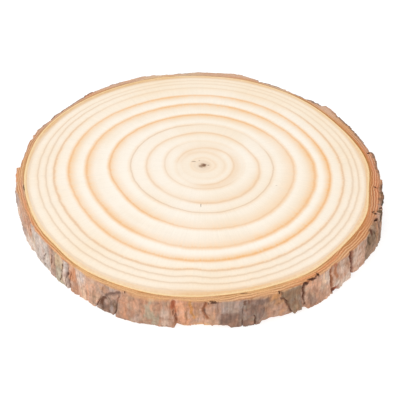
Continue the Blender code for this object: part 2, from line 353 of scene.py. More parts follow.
PLATES = (
    Plate(8.0, 1.5, 1.1, 117.0, 116.6, 0.3, Tone.UMBER, Tone.CLAY),
    Plate(22.0, -1.0, 0.8, 117.3, 117.5, 0.4, Tone.UMBER, Tone.DOVE),
    Plate(31.0, -1.5, 1.0, 117.3, 119.1, 0.4, Tone.PEACH, Tone.MAUVE),
    Plate(35.5, 0.5, 0.6, 119.3, 119.1, 0.6, Tone.CLAY, Tone.ROSE),
    Plate(39.5, 1.0, 1.3, 117.5, 117.0, 0.5, Tone.OLIVE, Tone.UMBER),
    Plate(46.0, 0.5, 0.7, 115.8, 116.3, 0.2, Tone.DOVE, Tone.STONE),
    Plate(56.0, -1.5, 0.6, 117.6, 118.2, 0.5, Tone.STONE, Tone.ROSE),
    Plate(67.5, 1.0, 1.5, 119.0, 124.3, 0.8, Tone.MAUVE, Tone.ASH),
    Plate(75.0, -0.5, 1.3, 124.4, 124.4, 0.9, Tone.ROSE, Tone.MAUVE),
    Plate(84.8, 1.0, 3.2, 124.4, 123.8, 1.3, Tone.CLAY, Tone.PEACH),
    Plate(94.0, -2.0, 0.9, 123.6, 123.6, 0.5, Tone.OLIVE, Tone.DOVE),
    Plate(103.0, -0.5, 0.8, 124.6, 126.3, 0.5, Tone.ASH, Tone.BLUSH),
    Plate(109.0, 1.5, 0.6, 126.2, 127.2, 0.5, Tone.ROSE, Tone.UMBER),
    Plate(116.0, 1.0, 1.9, 127.0, 127.0, 0.8, Tone.PEACH, Tone.ROSE),
    Plate(122.0, -1.0, 1.5, 126.8, 128.0, 0.6, Tone.MAUVE, Tone.STONE),
    Plate(128.0, 0.5, 0.7, 127.9, 127.4, 0.4, Tone.BLUSH, Tone.DOVE),
    Plate(132.0, -0.5, 0.8, 127.2, 128.3, 0.4, Tone.RUST, Tone.CLAY),
    Plate(136.5, 1.5, 2.2, 126.6, 125.1, 0.5, Tone.DOVE, Tone.MAUVE),
    Plate(146.0, -1.5, 0.8, 125.9, 125.7, 0.5, Tone.UMBER, Tone.ROSE),
    Plate(154.0, 1.0, 1.6, 125.8, 126.0, 0.5, Tone.ROSE, Tone.ASH),
    Plate(159.0, 0.5, 0.6, 126.6, 126.8, 0.4, Tone.CREAM, Tone.BLUSH),
    Plate(164.5, -1.0, 2.0, 125.9, 125.4, 0.5, Tone.PEACH, Tone.MAUVE),
    Plate(170.0, 1.5, 0.8, 124.8, 123.9, 0.4, Tone.MAUVE, Tone.UMBER),
    Plate(175.0, -0.5, 0.6, 124.0, 123.5, 0.4, Tone.CLAY, Tone.ROSE),
    Plate(180.5, -1.0, 1.8, 126.2, 124.8, 0.5, Tone.ROSE, Tone.DOVE),
    Plate(188.0, 1.0, 0.9, 124.1, 123.3, 0.5, Tone.DOVE, Tone.BLUSH),
    Plate(196.0, -0.5, 0.7, 123.0, 122.2, 0.5, Tone.ROSE, Tone.DOVE),
    Plate(203.0, 0.5, 0.9, 121.9, 121.6, 0.5, Tone.ROSE, Tone.BLUSH),
    Plate(209.0, 0.5, 0.8, 121.6, 120.3, 0.6, Tone.ASH, Tone.ASH),
    Plate(220.1, 0.7, 0.5, 120.4, 120.5, 0.5, Tone.MAUVE, Tone.MAUVE),
    Plate(222.6, 0.8, 0.9, 120.4, 120.6, 0.3, Tone.SAND, Tone.SAGE),
    Plate(226.8, 0.2, 0.5, 120.9, 121.0, 0.3, Tone.ASH, Tone.DOVE),
    Plate(229.2, 0.0, 1.6, 121.0, 121.3, 0.3, Tone.SALMON, Tone.CLAY),
    Plate(232.1, 0.9, 1.0, 121.4, 121.8, 0.4, Tone.BLUSH, Tone.ROSE),
    Plate(236.3, 0.6, 0.5, 121.8, 122.0, 0.5, Tone.ROSE, Tone.ROSE),
    Plate(243.2, -3.9, 0.5, 122.0, 122.2, 0.3, Tone.MAUVE, Tone.UMBER),
    Plate(247.4, -1.8, 0.6, 122.5, 122.3, 0.9, Tone.CLAY, Tone.FAWN),
    Plate(261.9, 1.0, 1.3, 121.6, 121.2, 0.4, Tone.SALMON, Tone.SALMON),
    Plate(266.3, 0.3, 0.3, 121.3, 121.6, 0.2, Tone.CLAY, Tone.ROSE),
    Plate(270.6, -0.4, 0.7, 121.8, 121.5, 0.3, Tone.CLAY, Tone.ROSE),
    Plate(273.8, 0.2, 0.3, 121.5, 121.6, 0.5, Tone.SLATE, Tone.UMBER),
    Plate(280.2, 0.4, 0.2, 122.0, 122.2, 0.4, Tone.UMBER, Tone.UMBER),
    Plate(287.0, -1.5, 0.2, 122.1, 121.7, 0.3, Tone.STRAW, Tone.FAWN),
    Plate(290.3, 4.6, 0.8, 121.5, 121.9, 0.4, Tone.OLIVE, Tone.OLIVE),
    Plate(297.5, -0.2, 1.4, 121.6, 120.7, 0.5, Tone.ROSE, Tone.FAWN),
    Plate(304.6, 0.8, 0.4, 120.7, 120.7, 0.2, Tone.BLUSH, Tone.ROSE),
    Plate(307.6, 0.2, 1.4, 120.8, 120.3, 0.4, Tone.FAWN, Tone.BLUSH),
    Plate(316.2, 2.0, 2.2, 120.0, 120.6, 0.5, Tone.FAWN, Tone.ROSE),
    Plate(325.8, -1.4, 0.8, 120.7, 121.2, 0.3, Tone.OLIVE, Tone.STONE),
    Plate(332.0, 0.5, 0.8, 121.3, 121.0, 0.3, Tone.FAWN, Tone.STONE),
    Plate(340.0, -0.5, 1.0, 120.1, 119.5, 0.4, Tone.COCOA, Tone.COCOA),
    Plate(347.0, 0.5, 1.2, 119.4, 119.2, 0.4, Tone.COCOA, Tone.RUST),
    Plate(353.0, -1.0, 1.0, 118.2, 118.7, 0.6, Tone.COCOA, Tone.CLAY),
)

# Where the lower edge of the bark is broken off: middle angle, half of its width in degrees, height
LOWER_CHIPS = (
    (58.0, 4.0, 1.8), (98.0, 5.0, 2.4), (139.0, 3.0, 1.6), (186.0, 4.0, 2.0), (243.8, 1.3, 0.9),
    (264.4, 2.2, 2.3), (269.4, 3.0, 4.4), (274.8, 2.6, 2.1), (289.5, 2.6, 1.2), (293.5, 4.0, 0.4),
    (297.4, 2.0, 2.0), (315.3, 2.0, 0.9), (345.0, 3.5, 1.5),
)


@dataclass(frozen=True)
class SawnTone:
    """Colours of the bark's sawn edge at one angle."""

    angle: float
    inner: Tone
    outer: Tone


SAWN_TONES = (
    SawnTone(0, Tone.CHESTNUT, Tone.CLAY), SawnTone(12, Tone.CHESTNUT, Tone.CLAY),
    SawnTone(24, Tone.GINGER, Tone.TAWNY), SawnTone(36, Tone.TAWNY, Tone.BISCUIT),
    SawnTone(46, Tone.TAWNY, Tone.BISCUIT), SawnTone(62, Tone.OAT, Tone.OAT),
    SawnTone(72, Tone.TAWNY, Tone.BISCUIT), SawnTone(84, Tone.BISCUIT, Tone.BISCUIT),
    SawnTone(96, Tone.OAT, Tone.OAT), SawnTone(107, Tone.WHEAT, Tone.OAT),
    SawnTone(120, Tone.BISCUIT, Tone.BISCUIT), SawnTone(132, Tone.TAWNY, Tone.BISCUIT),
    SawnTone(144, Tone.BISCUIT, Tone.CLAY), SawnTone(156, Tone.BISCUIT, Tone.CLAY),
    SawnTone(168, Tone.TAWNY, Tone.CLAY), SawnTone(180, Tone.HONEY, Tone.TAWNY),
    SawnTone(192, Tone.BISCUIT, Tone.TAWNY), SawnTone(204, Tone.HONEY, Tone.CLAY),
    SawnTone(216, Tone.HONEY, Tone.TAWNY), SawnTone(242, Tone.HONEY, Tone.TAWNY),
    SawnTone(260, Tone.TAWNY, Tone.HONEY), SawnTone(276, Tone.HONEY, Tone.TAWNY),
    SawnTone(290, Tone.HONEY, Tone.TAWNY), SawnTone(300, Tone.HONEY, Tone.GINGER),
    SawnTone(312, Tone.GINGER, Tone.TAWNY), SawnTone(324, Tone.CHESTNUT, Tone.GINGER),
    SawnTone(338, Tone.GINGER, Tone.COPPER), SawnTone(349, Tone.CHESTNUT, Tone.COPPER),
)

# Where the weathered outside laps over the sawn edge: middle angle, half of its width in degrees, strength
WORN_RIMS = (
    (334.0, 9.0, 0.9), (346.0, 6.0, 0.7), (2.0, 9.0, 0.7), (24.0, 16.0, 0.7), (46.0, 10.0, 0.9),
    (64.0, 8.0, 0.9), (98.0, 4.0, 0.5), (122.0, 14.0, 0.5), (146.0, 24.0, 0.8), (176.0, 8.0, 0.4),
    (208.0, 5.0, 0.6), (219.0, 3.0, 0.5), (262.0, 1.5, 0.6),
)


@dataclass(frozen=True)
class Pit:
    """A hole or slit in the sawn edge of the bark, painted dark inside as shade."""

    angle: float
    radius: float
    half_length: float
    half_width: float
    turn: float  # how far its length is turned from the tangent, in degrees
    depth: float


PITS = (
    Pit(302.9, 119.8, 1.2, 0.7, 80, 2.5), Pit(300.8, 120.9, 3.8, 0.6, 8, 1.6),
    Pit(298.2, 121.7, 1.6, 0.7, 10, 1.8), Pit(272.5, 121.6, 1.9, 0.65, 12, 1.8),
    Pit(271.3, 122.3, 0.7, 0.4, 50, 1.2), Pit(249.0, 122.2, 0.6, 0.3, 70, 0.8),
    Pit(332.9, 119.9, 2.2, 0.7, 8, 2.6), Pit(335.4, 118.0, 1.1, 0.6, 60, 2.2),
    Pit(336.1, 116.6, 1.2, 0.5, 20, 2.0), Pit(338.6, 120.0, 1.5, 0.5, 25, 1.6),
    Pit(348.4, 115.1, 1.3, 0.5, -50, 1.8), Pit(7.0, 115.6, 0.9, 0.8, 70, 1.2),
    Pit(191.6, 119.2, 3.4, 0.35, -3, 0.8), Pit(290.2, 121.6, 0.9, 0.5, 80, 1.2),
    Pit(349.0, 119.2, 2.6, 0.4, 0, 0.9), Pit(281.0, 117.5, 2.4, 0.2, 10, 0.3),
)


@dataclass(frozen=True)
class Crack:
    """A crack in the bark's face."""

    points: tuple[tuple[float, float], ...]  # angle, and how far below the upper face
    half_width: float
    depth: float
    stain: Tone  # colour of its walls; the dark browns of deep cracks are partly painted shade
    floor_shade: float  # how much painted shade its floor has, from 0 to 1

    def nearness(self, angle: float, below: float, radius: float) -> float:
        """How near a point of the face is to the crack: 1 on it, 0 at its half width and beyond."""
        nearest = 9.0
        for (angle0, below0), (angle1, below1) in zip(self.points, self.points[1:]):
            width = math.radians(angle1 - angle0) * radius
            height = below1 - below0
            across = math.radians(angle - angle0) * radius
            share = (across * width + (below - below0) * height) / (width * width + height * height)
            share = min(1.0, max(0.0, share))
            nearest = min(nearest, math.hypot(across - share * width, below - below0 - share * height))
        return max(0.0, 1 - nearest / self.half_width)


CRACKS = (
    Crack(((247.2, 2.2), (246.0, 4.6), (245.0, 5.0), (243.4, 7.6), (242.6, 11.0)), 1.2, 0.7, Tone.UMBER, 0.2),
    Crack(((242.8, 11.6), (241.8, 13.4), (242.0, 16.4)), 1.4, 0.8, Tone.COCOA, 0.5),
    Crack(((243.6, 8.6), (244.8, 11.0), (244.6, 14.0)), 0.8, 0.4, Tone.UMBER, 0.2),
    Crack(((241.6, 14.2), (241.4, 16.4)), 1.2, 0.9, Tone.COCOA, 0.7),
    Crack(((242.0, 18.2), (241.8, 20.0)), 1.0, 0.4, Tone.COCOA, 0.3),
    Crack(((246.0, 9.0), (245.8, 21.0)), 0.9, 0.3, Tone.OLIVE, 0.15),
    Crack(((262.0, 1.8), (262.0, 5.8)), 1.9, 0.9, Tone.BRICK, 0.05),
    Crack(((261.8, 8.5), (262.2, 13.0), (262.8, 18.5)), 0.5, 0.5, Tone.RUST, 0.7),
    Crack(((265.4, 9.0), (265.5, 16.0)), 0.8, 0.4, Tone.STRAW, 0.3),
    Crack(((266.5, 0.5), (266.6, 8.0), (267.3, 15.0)), 1.2, 0.2, Tone.AMBER, 0.0),
    Crack(((270.4, 1.5), (269.9, 6.0), (270.2, 10.5), (271.0, 15.0)), 1.2, 0.7, Tone.RUST, 0.35),
    Crack(((270.2, 7.6), (270.3, 10.6)), 1.3, 0.3, Tone.COCOA, 0.3),
    Crack(((280.9, 2.4), (280.8, 4.6)), 0.9, 0.3, Tone.COCOA, 0.3),
    Crack(((283.2, 12.0), (283.6, 17.0), (283.9, 22.0)), 0.5, 0.7, Tone.COCOA, 0.9),
    Crack(
        ((290.9, 4.6), (291.8, 8.0), (292.8, 11.5), (293.8, 15.5), (294.3, 20.0)),
        0.8, 0.7, Tone.COCOA, 0.6,
    ),
    Crack(((297.6, 1.0), (297.5, 7.0), (297.7, 12.0)), 1.2, 1.0, Tone.COCOA, 0.9),
    Crack(((298.0, 0.4), (300.2, 0.3), (302.2, 0.6)), 0.8, 0.5, Tone.SIENNA_AND_SHADE, 0.8),
    Crack(((297.8, 12.0), (298.4, 18.0)), 0.7, 0.5, Tone.COCOA, 0.5),
    Crack(((307.6, 1.0), (307.9, 10.0), (308.6, 18.0)), 1.1, 0.7, Tone.RUST, 0.45),
    Crack(((308.9, 18.6), (310.3, 21.8)), 2.4, 1.7, Tone.SIENNA_AND_SHADE, 0.6),
    Crack(((309.2, 0.4), (309.8, 2.4)), 1.4, 0.3, Tone.BRICK, 0.0),
    Crack(((309.4, 4.0), (309.9, 10.0)), 1.9, 0.1, Tone.RUST, 0.0),
    Crack(((316.4, 2.0), (317.4, 10.0), (318.2, 22.0)), 2.6, 1.8, Tone.SIENNA_AND_SHADE, 0.9),
    Crack(((316.0, 0.3), (316.3, 2.2)), 1.2, 0.6, Tone.COCOA, 0.7),
    Crack(((327.6, 0.2), (328.5, 3.8)), 2.0, 0.8, Tone.COCOA, 0.9),
    Crack(((326.0, 3.0), (327.2, 10.0)), 1.1, 0.5, Tone.MOSS, 0.3),
    Crack(((329.8, 4.0), (331.4, 13.0)), 0.8, 0.4, Tone.MOSS, 0.2),
    Crack(((333.4, 1.0), (335.2, 10.0)), 1.2, 0.6, Tone.COCOA, 0.5),
    Crack(((230.9, 6.0), (230.4, 13.0), (229.5, 21.0)), 0.7, 0.7, Tone.RUST, 0.8),
    Crack(((228.8, 9.0), (228.5, 14.0), (227.8, 21.0)), 0.45, 0.5, Tone.UMBER, 0.45),
    Crack(((226.8, 5.0), (226.4, 11.0), (225.4, 20.0)), 0.6, 0.6, Tone.COCOA, 0.75),
    Crack(((221.9, 5.0), (221.7, 11.0), (221.0, 18.0)), 0.6, 0.5, Tone.COCOA, 0.6),
    Crack(((218.4, 9.0), (217.4, 15.0), (216.7, 21.0)), 0.6, 0.5, Tone.COCOA, 0.5),
    Crack(((208.0, 1.0), (208.4, 7.0)), 1.2, 0.6, Tone.RUST, 0.35),
)


@dataclass(frozen=True)
class Patch:
    """A soft patch of another colour on the bark's face."""

    angle: float
    below: float  # how far its middle is below the upper face
    half_width: float
    half_height: float
    tone: Tone
    share: float  # how much of its own colour it has in the middle


PATCHES = (
    Patch(206.5, 3.0, 4.0, 4.0, Tone.RUST, 0.4), Patch(210.0, 14.0, 3.0, 7.0, Tone.SAND, 0.5),
    Patch(216.6, 14.0, 3.0, 9.0, Tone.LILAC, 0.5), Patch(221.4, 11.0, 2.4, 11.0, Tone.ROSE, 0.5),
    Patch(228.2, 6.0, 1.6, 7.0, Tone.LILAC, 0.3), Patch(228.0, 17.0, 2.4, 6.0, Tone.BLUSH, 1.0),
    Patch(235.0, 16.5, 2.6, 6.0, Tone.CREAM, 0.7), Patch(207.0, 18.0, 7.0, 6.5, Tone.ASH, 0.8),
    Patch(231.6, 5.0, 3.0, 8.0, Tone.COPPER, 0.4), Patch(234.7, 4.5, 2.8, 7.0, Tone.LILAC, 0.8),
    Patch(236.8, 12.0, 1.6, 9.0, Tone.PEACH, 0.6), Patch(239.0, 15.0, 2.2, 7.0, Tone.OLIVE, 0.45),
    Patch(241.8, 17.5, 3.4, 5.0, Tone.UMBER, 0.7), Patch(244.9, 16.0, 1.4, 3.6, Tone.LILAC, 0.6),
    Patch(245.4, 1.6, 2.2, 1.8, Tone.ASH, 0.3), Patch(242.4, 4.0, 5.0, 4.0, Tone.STRAW, 0.5),
    Patch(244.0, 9.0, 3.0, 4.0, Tone.STONE, 0.6), Patch(249.0, 15.0, 2.6, 7.0, Tone.SALMON, 0.6),
    Patch(252.0, 8.0, 3.4, 6.0, Tone.PEACH, 0.4), Patch(256.2, 12.0, 4.2, 11.0, Tone.SAGE, 0.75),
    Patch(260.0, 14.0, 3.0, 10.0, Tone.BLUSH, 0.5), Patch(264.3, 13.0, 3.0, 12.0, Tone.PEACH, 0.8),
    Patch(272.4, 15.0, 3.4, 6.0, Tone.STRAW, 0.5), Patch(288.4, 9.0, 3.0, 5.0, Tone.STONE, 0.5),
    Patch(268.6, 9.0, 2.6, 8.0, Tone.STRAW, 0.45), Patch(276.8, 3.6, 5.8, 4.6, Tone.STONE, 0.5),
    Patch(278.0, 8.0, 4.0, 4.0, Tone.STONE, 0.5), Patch(276.6, 16.0, 5.6, 8.0, Tone.UMBER, 0.4),
    Patch(284.0, 12.0, 5.0, 8.0, Tone.UMBER, 0.45), Patch(285.4, 4.0, 4.4, 4.0, Tone.UMBER, 0.85),
    Patch(288.6, 3.0, 2.6, 3.0, Tone.AMBER, 0.4), Patch(288.6, 13.0, 2.4, 7.0, Tone.ROSE, 0.5),
    Patch(294.0, 6.0, 4.0, 8.0, Tone.OLIVE, 0.5), Patch(292.0, 17.0, 2.4, 4.0, Tone.TAWNY, 0.45),
    Patch(298.4, 1.0, 1.3, 1.6, Tone.COCOA, 0.8), Patch(301.2, 4.0, 3.6, 4.0, Tone.SALMON, 0.6),
    Patch(300.0, 11.0, 2.2, 4.0, Tone.STONE, 0.6), Patch(300.8, 17.0, 5.0, 5.0, Tone.UMBER, 0.5),
    Patch(304.9, 5.0, 1.8, 8.0, Tone.CREAM, 0.85), Patch(308.9, 7.0, 2.4, 7.0, Tone.ROSE, 0.8),
    Patch(309.2, 1.0, 1.3, 1.8, Tone.BRICK, 0.7), Patch(312.2, 5.0, 3.2, 8.0, Tone.BLUSH, 0.7),
    Patch(309.6, 19.6, 2.6, 3.6, Tone.SIENNA_AND_SHADE, 0.95), Patch(308.4, 20.5, 0.9, 2.4, Tone.COCOA, 0.8),
    Patch(320.4, 9.0, 6.0, 13.0, Tone.BLUSH, 0.75), Patch(327.2, 9.0, 6.5, 13.0, Tone.OLIVE, 0.85),
    Patch(328.2, 2.0, 1.8, 2.0, Tone.COCOA, 0.9), Patch(335.4, 12.0, 2.4, 12.0, Tone.COCOA, 0.4),
    Patch(332.2, 9.0, 4.2, 13.0, Tone.STRAW, 0.55), Patch(337.2, 2.0, 2.6, 9.0, Tone.MOSS, 0.95),
    Patch(343.5, 8.0, 7.0, 16.0, Tone.MOSS, 0.95), Patch(26.0, 1.0, 36.0, 5.0, Tone.COCOA, 0.6),
    Patch(46.0, 1.0, 16.0, 5.0, Tone.UMBER, 0.8), Patch(142.0, 1.0, 64.0, 5.0, Tone.COCOA, 0.6),
    Patch(348.0, 8.0, 6.0, 15.0, Tone.MOSS, 0.7), Patch(1.0, 8.0, 7.0, 15.0, Tone.COCOA, 0.7),
    Patch(325.4, 5.0, 0.8, 5.0, Tone.MOSS, 0.6), Patch(329.6, 6.0, 0.9, 6.0, Tone.MOSS, 0.5),
    Patch(64.0, 6.0, 9.0, 10.0, Tone.COCOA, 0.7),
)

# Where fresh bark shows below the upper edge: middle angle, half of its width in degrees, height
FRESH_EDGES = ((254.5, 7.5, 2.4), (239.0, 3.0, 1.0), (285.5, 4.5, 1.6), (300.0, 2.0, 1.2), (230.5, 2.0, 1.5))


@dataclass
class SliceForm:
    """The outline of the slice and the relief of its bark, as plain functions of angle and height."""

    half_fissure: float = 1.3  # about half of the width of a fissure
    fissure_starts_below_rim: float = 3.0
    depth_at_rim: float = 0.25  # share of its depth that a fissure has at the upper edge
    wander: float = 0.7  # how far a fissure strays round the slice, in degrees
    wander_height: float = 8.0  # and over what height
    largest_ledge: float = 0.8  # how far a broken plate steps in or out at most
    ledge_height: float = 1.6  # and over what height
    relief: float = 0.5  # how far a plate's face rises and falls
    relief_width: float = 8.0
    relief_height: float = 13.0
    skin: float = 0.8  # the thinnest bark over the wood
    table_step: float = 0.5  # steps of height at which the fissures are worked out
    ledge_draws: list[list[tuple[float, float]]] = field(default_factory=list)
    wood_edge: LoopCurve = field(init=False)
    flare: LoopCurve = field(init=False)
    fissure_table: list[list[float]] = field(init=False)

    def __post_init__(self) -> None:
        """Draws the two ledges of every plate and follows every fissure down."""
        self.wood_edge = LoopCurve(WOOD_EDGE)
        self.flare = LoopCurve(LOWER_FLARE)
        heights = [i * self.table_step for i in range(round(THICKNESS / self.table_step) + 2)]
        self.fissure_table = [[self.wandering(plate, height) for height in heights] for plate in PLATES]
        for number in range(len(PLATES)):
            draw = random.Random(number)
            ledges = []
            for lowest, highest in ((0.2, 0.45), (0.55, 0.85)):
                ledges.append((
                    THICKNESS * draw.uniform(lowest, highest),
                    draw.uniform(-self.largest_ledge, self.largest_ledge),
                ))
            self.ledge_draws.append(ledges)

    def wood_radius(self, angle: float) -> float:
        """Distance of the wood's edge from the pith."""
        return self.wood_edge.at(angle)

    def wandering(self, plate: Plate, height: float) -> float:
        """Angle at a height of a plate's fissure, which leans and wanders."""
        below_rim = THICKNESS - height
        wander = self.wander * noise.noise(Vector((plate.start, 0, below_rim / self.wander_height)))
        wander *= smooth_step(below_rim / self.fissure_starts_below_rim)
        return plate.start + plate.lean * below_rim / THICKNESS + wander

    def fissure_angle(self, number: int, height: float) -> float:
        """Angle of a plate's fissure at a height. Numbers past the last plate go on round."""
        table = self.fissure_table[number % len(PLATES)]
        whole, part = divmod(height / self.table_step, 1)
        first = table[int(whole)]
        return first + (table[int(whole) + 1] - first) * part + FULL_TURN * (number // len(PLATES))

    def angle_across(self, number: int, across: float, height: float) -> float:
        """Angle of a point at a height, by its share of the way across its plate."""
        last = self.fissure_angle(number + 1, height)
        return self.fissure_angle(number, height) * (1 - across) + last * across

    def plate_width(self, number: int) -> float:
        """Width of a plate along the upper edge."""
        turn = self.fissure_angle(number + 1, THICKNESS) - self.fissure_angle(number, THICKNESS)
        return math.radians(turn) * PLATES[number].first_rim

    def chip_height(self, angle: float) -> float:
        """How far above the lower face the bark's lower edge is at this angle."""
        return highest_bump(LOWER_CHIPS, angle, 2.5)

    def plate_face(self, number: int, across: float, height: float, angle: float) -> float:
        """Distance of a plate's weathered face from the pith, without its fissures."""
        plate = PLATES[number]
        share = height / THICKNESS
        radius = plate.first_rim + (plate.last_rim - plate.first_rim) * across
        radius += plate.swell * math.sin(math.pi * across) * math.sin(math.pi * min(1.0, 0.15 + 0.85 * share))
        radius += self.flare.at(angle) * (1 - share)
        for ledge_height, step in self.ledge_draws[number]:
            radius += step * smooth_step((ledge_height - height) / self.ledge_height)
        place = round_pith(angle, radius) / self.relief_width
        place.z = height / self.relief_height
        return radius + self.relief * noise.noise(place)

    def fissure_floor(self, number: int, height: float) -> float:
        """Distance of the floor of a plate's own fissure from the pith."""
        plate = PLATES[number % len(PLATES)]
        before = PLATES[(number - 1) % len(PLATES)]
        opening = smooth_step((THICKNESS - height) / self.fissure_starts_below_rim)
        deepening = self.depth_at_rim + (1 - self.depth_at_rim) * opening
        flare = self.flare.at(plate.start) * (1 - height / THICKNESS)
        return min(before.last_rim, plate.first_rim) + flare - plate.depth * deepening


class NodeDesk:
    """A short way to lay out the nodes of one material or group."""

    def __init__(self, tree: bpy.types.NodeTree) -> None:
        """Keeps the node tree that the nodes are added to."""
        self.tree = tree

    def node(self, kind: str, settings: dict[str, object] | None = None, **inputs: object) -> bpy.types.Node:
        """Adds a node.

        Args:
            kind: Name of the node's class.
            settings: Properties of the node.
            inputs: Values or sockets for its inputs. An underscore in a name stands for a space, and a name
                like i2 means the third input.

        Returns:
            The new node.
        """
        made = self.tree.nodes.new(kind)
        for name, value in (settings or {}).items():
            setattr(made, name, value)
        for name, value in inputs.items():
            key = int(name[1:]) if name[0] == "i" and name[1:].isdigit() else name.replace("_", " ")
            self.feed(made.inputs[key], value)
        return made

    def feed(self, socket: Socket, value: object) -> None:
        """Links a socket to another one, or sets its plain value."""
        if isinstance(value, bpy.types.NodeSocket):
            self.tree.links.new(value, socket)
        else:
            socket.default_value = value

    def math(self, operation: str, first: object, second: object = 0.0, clamp: bool = False) -> Socket:
        """The result of one sum on numbers."""
        settings = {"operation": operation, "use_clamp": clamp}
        return self.node("ShaderNodeMath", settings, i0=first, i1=second).outputs[0]

    def times(self, first: object, second: object, clamp: bool = False) -> Socket:
        """The product of two numbers."""
        return self.math("MULTIPLY", first, second, clamp)

    def plus(self, first: object, second: object) -> Socket:
        """The sum of two numbers."""
        return self.math("ADD", first, second)

    def minus(self, first: object, second: object, clamp: bool = False) -> Socket:
        """The first number less the second."""
        return self.math("SUBTRACT", first, second, clamp)

    def swing(self, share: object, width: float) -> Socket:
        """Turns a value from 0 to 1 into one that swings round 0 over a width."""
        return self.times(self.minus(share, 0.5), width)

    def vector(self, operation: str, first: object, second: object = (0, 0, 0)) -> Socket:
        """The result of one sum on vectors, itself a vector."""
        return self.node("ShaderNodeVectorMath", {"operation": operation}, i0=first, i1=second).outputs[0]

    def scaled(self, vector: object, scale: object) -> Socket:
        """A vector or a colour times a number."""
        return self.node("ShaderNodeVectorMath", {"operation": "SCALE"}, i0=vector, i3=scale).outputs[0]

    def length(self, vector: object) -> Socket:
        """The length of a vector."""
        return self.node("ShaderNodeVectorMath", {"operation": "LENGTH"}, i0=vector).outputs["Value"]

    def towards(self, direction: object, side: Sequence[float]) -> Socket:
        """How far a direction is towards one side, from -1 to 1."""
        settings = {"operation": "DOT_PRODUCT"}
        return self.node("ShaderNodeVectorMath", settings, i0=direction, i1=tuple(side)).outputs["Value"]

    def noise(self, place: object, scale: float, detail: float = 2.0, roughness: float = 0.5) -> Socket:
        """Soft noise from 0 to 1 at a place."""
        made = self.node("ShaderNodeTexNoise", Vector=place, Scale=scale, Detail=detail, Roughness=roughness)
        return made.outputs[0]

    def remap(self, value: object, low: float, high: float, new_low: float, new_high: float) -> Socket:
        """Moves a value from one range to another and keeps it there."""
        return self.node(
            "ShaderNodeMapRange",
            {"interpolation_type": "SMOOTHSTEP"},
            Value=value,
            From_Min=low,
            From_Max=high,
            To_Min=new_low,
            To_Max=new_high,
        ).outputs[0]

    def rise(self, value: object, start: float, end: float, top: float = 1.0) -> Socket:
        """Goes from 0 up to a top while a value goes from a start to an end."""
        return self.remap(value, start, end, 0.0, top)

    def fall(self, value: object, start: float, end: float, top: float = 1.0) -> Socket:
        """Goes from a top down to 0 while a value goes from a start to an end."""
        return self.remap(value, start, end, top, 0.0)

    def mix(self, share: object, first: object, second: object) -> Socket:
        """Mixes two colours."""
        return self.node("ShaderNodeMix", {"data_type": "RGBA"}, i0=share, i6=first, i7=second).outputs[2]

    def attribute(self, name: str) -> bpy.types.Node:
        """Reads an attribute that the mesh carries."""
        return self.node("ShaderNodeAttribute", {"attribute_name": name})


def new_material(name: str) -> bpy.types.Material:
    """Starts a material that is made of nodes."""
    material = bpy.data.materials.new(name)
    material.use_nodes = True
    return material


def fibre_group() -> bpy.types.NodeTree:
    """Builds the shared effect of dry plant fibre: uneven tone and small relief at a place on the object.

    Returns:
        A node group that takes a place and the size and contrast of its marks. It gives a tone round 1 and a
        height from 0 to 1.
    """
    group = bpy.data.node_groups.new("dry_fibre", "ShaderNodeTree")
    group.interface.new_socket("Place", in_out="INPUT", socket_type="NodeSocketVector")
    for name, value in (("Marks per Metre", 1500.0), ("Contrast", 0.1)):
        group.interface.new_socket(name, in_out="INPUT", socket_type="NodeSocketFloat").default_value = value
    group.interface.new_socket("Tone", in_out="OUTPUT", socket_type="NodeSocketFloat")
    group.interface.new_socket("Height", in_out="OUTPUT", socket_type="NodeSocketFloat")
    desk = NodeDesk(group)
    place, marks_per_metre, contrast = desk.node("NodeGroupInput").outputs[:3]
    marks = desk.node("ShaderNodeTexNoise", Vector=place, Scale=marks_per_metre, Detail=3.0).outputs[0]
    fine_scale = desk.times(marks_per_metre, 3.1)
    specks = desk.node("ShaderNodeTexNoise", Vector=place, Scale=fine_scale, Detail=1.0).outputs[0]
    height = desk.plus(desk.times(marks, 0.7), desk.times(specks, 0.3))
    swing = desk.times(desk.minus(height, 0.5), contrast)
    result = desk.node("NodeGroupOutput")
    desk.feed(result.inputs["Tone"], desk.plus(swing, 1.0))
    desk.feed(result.inputs["Height"], height)
    return group


@dataclass(frozen=True)
class Finish:
    """What both finishes of the slice state: how rough and how grainy the face is."""

    roughness: float = 0.8
    roughest: float = 0.9
    specular: float = 0.2
    relief: float = 0.0002  # depth in metres
    relief_strength: float = 0.5
    grain_per_metre: float = 1000.0
    grain_contrast: float = 0.1


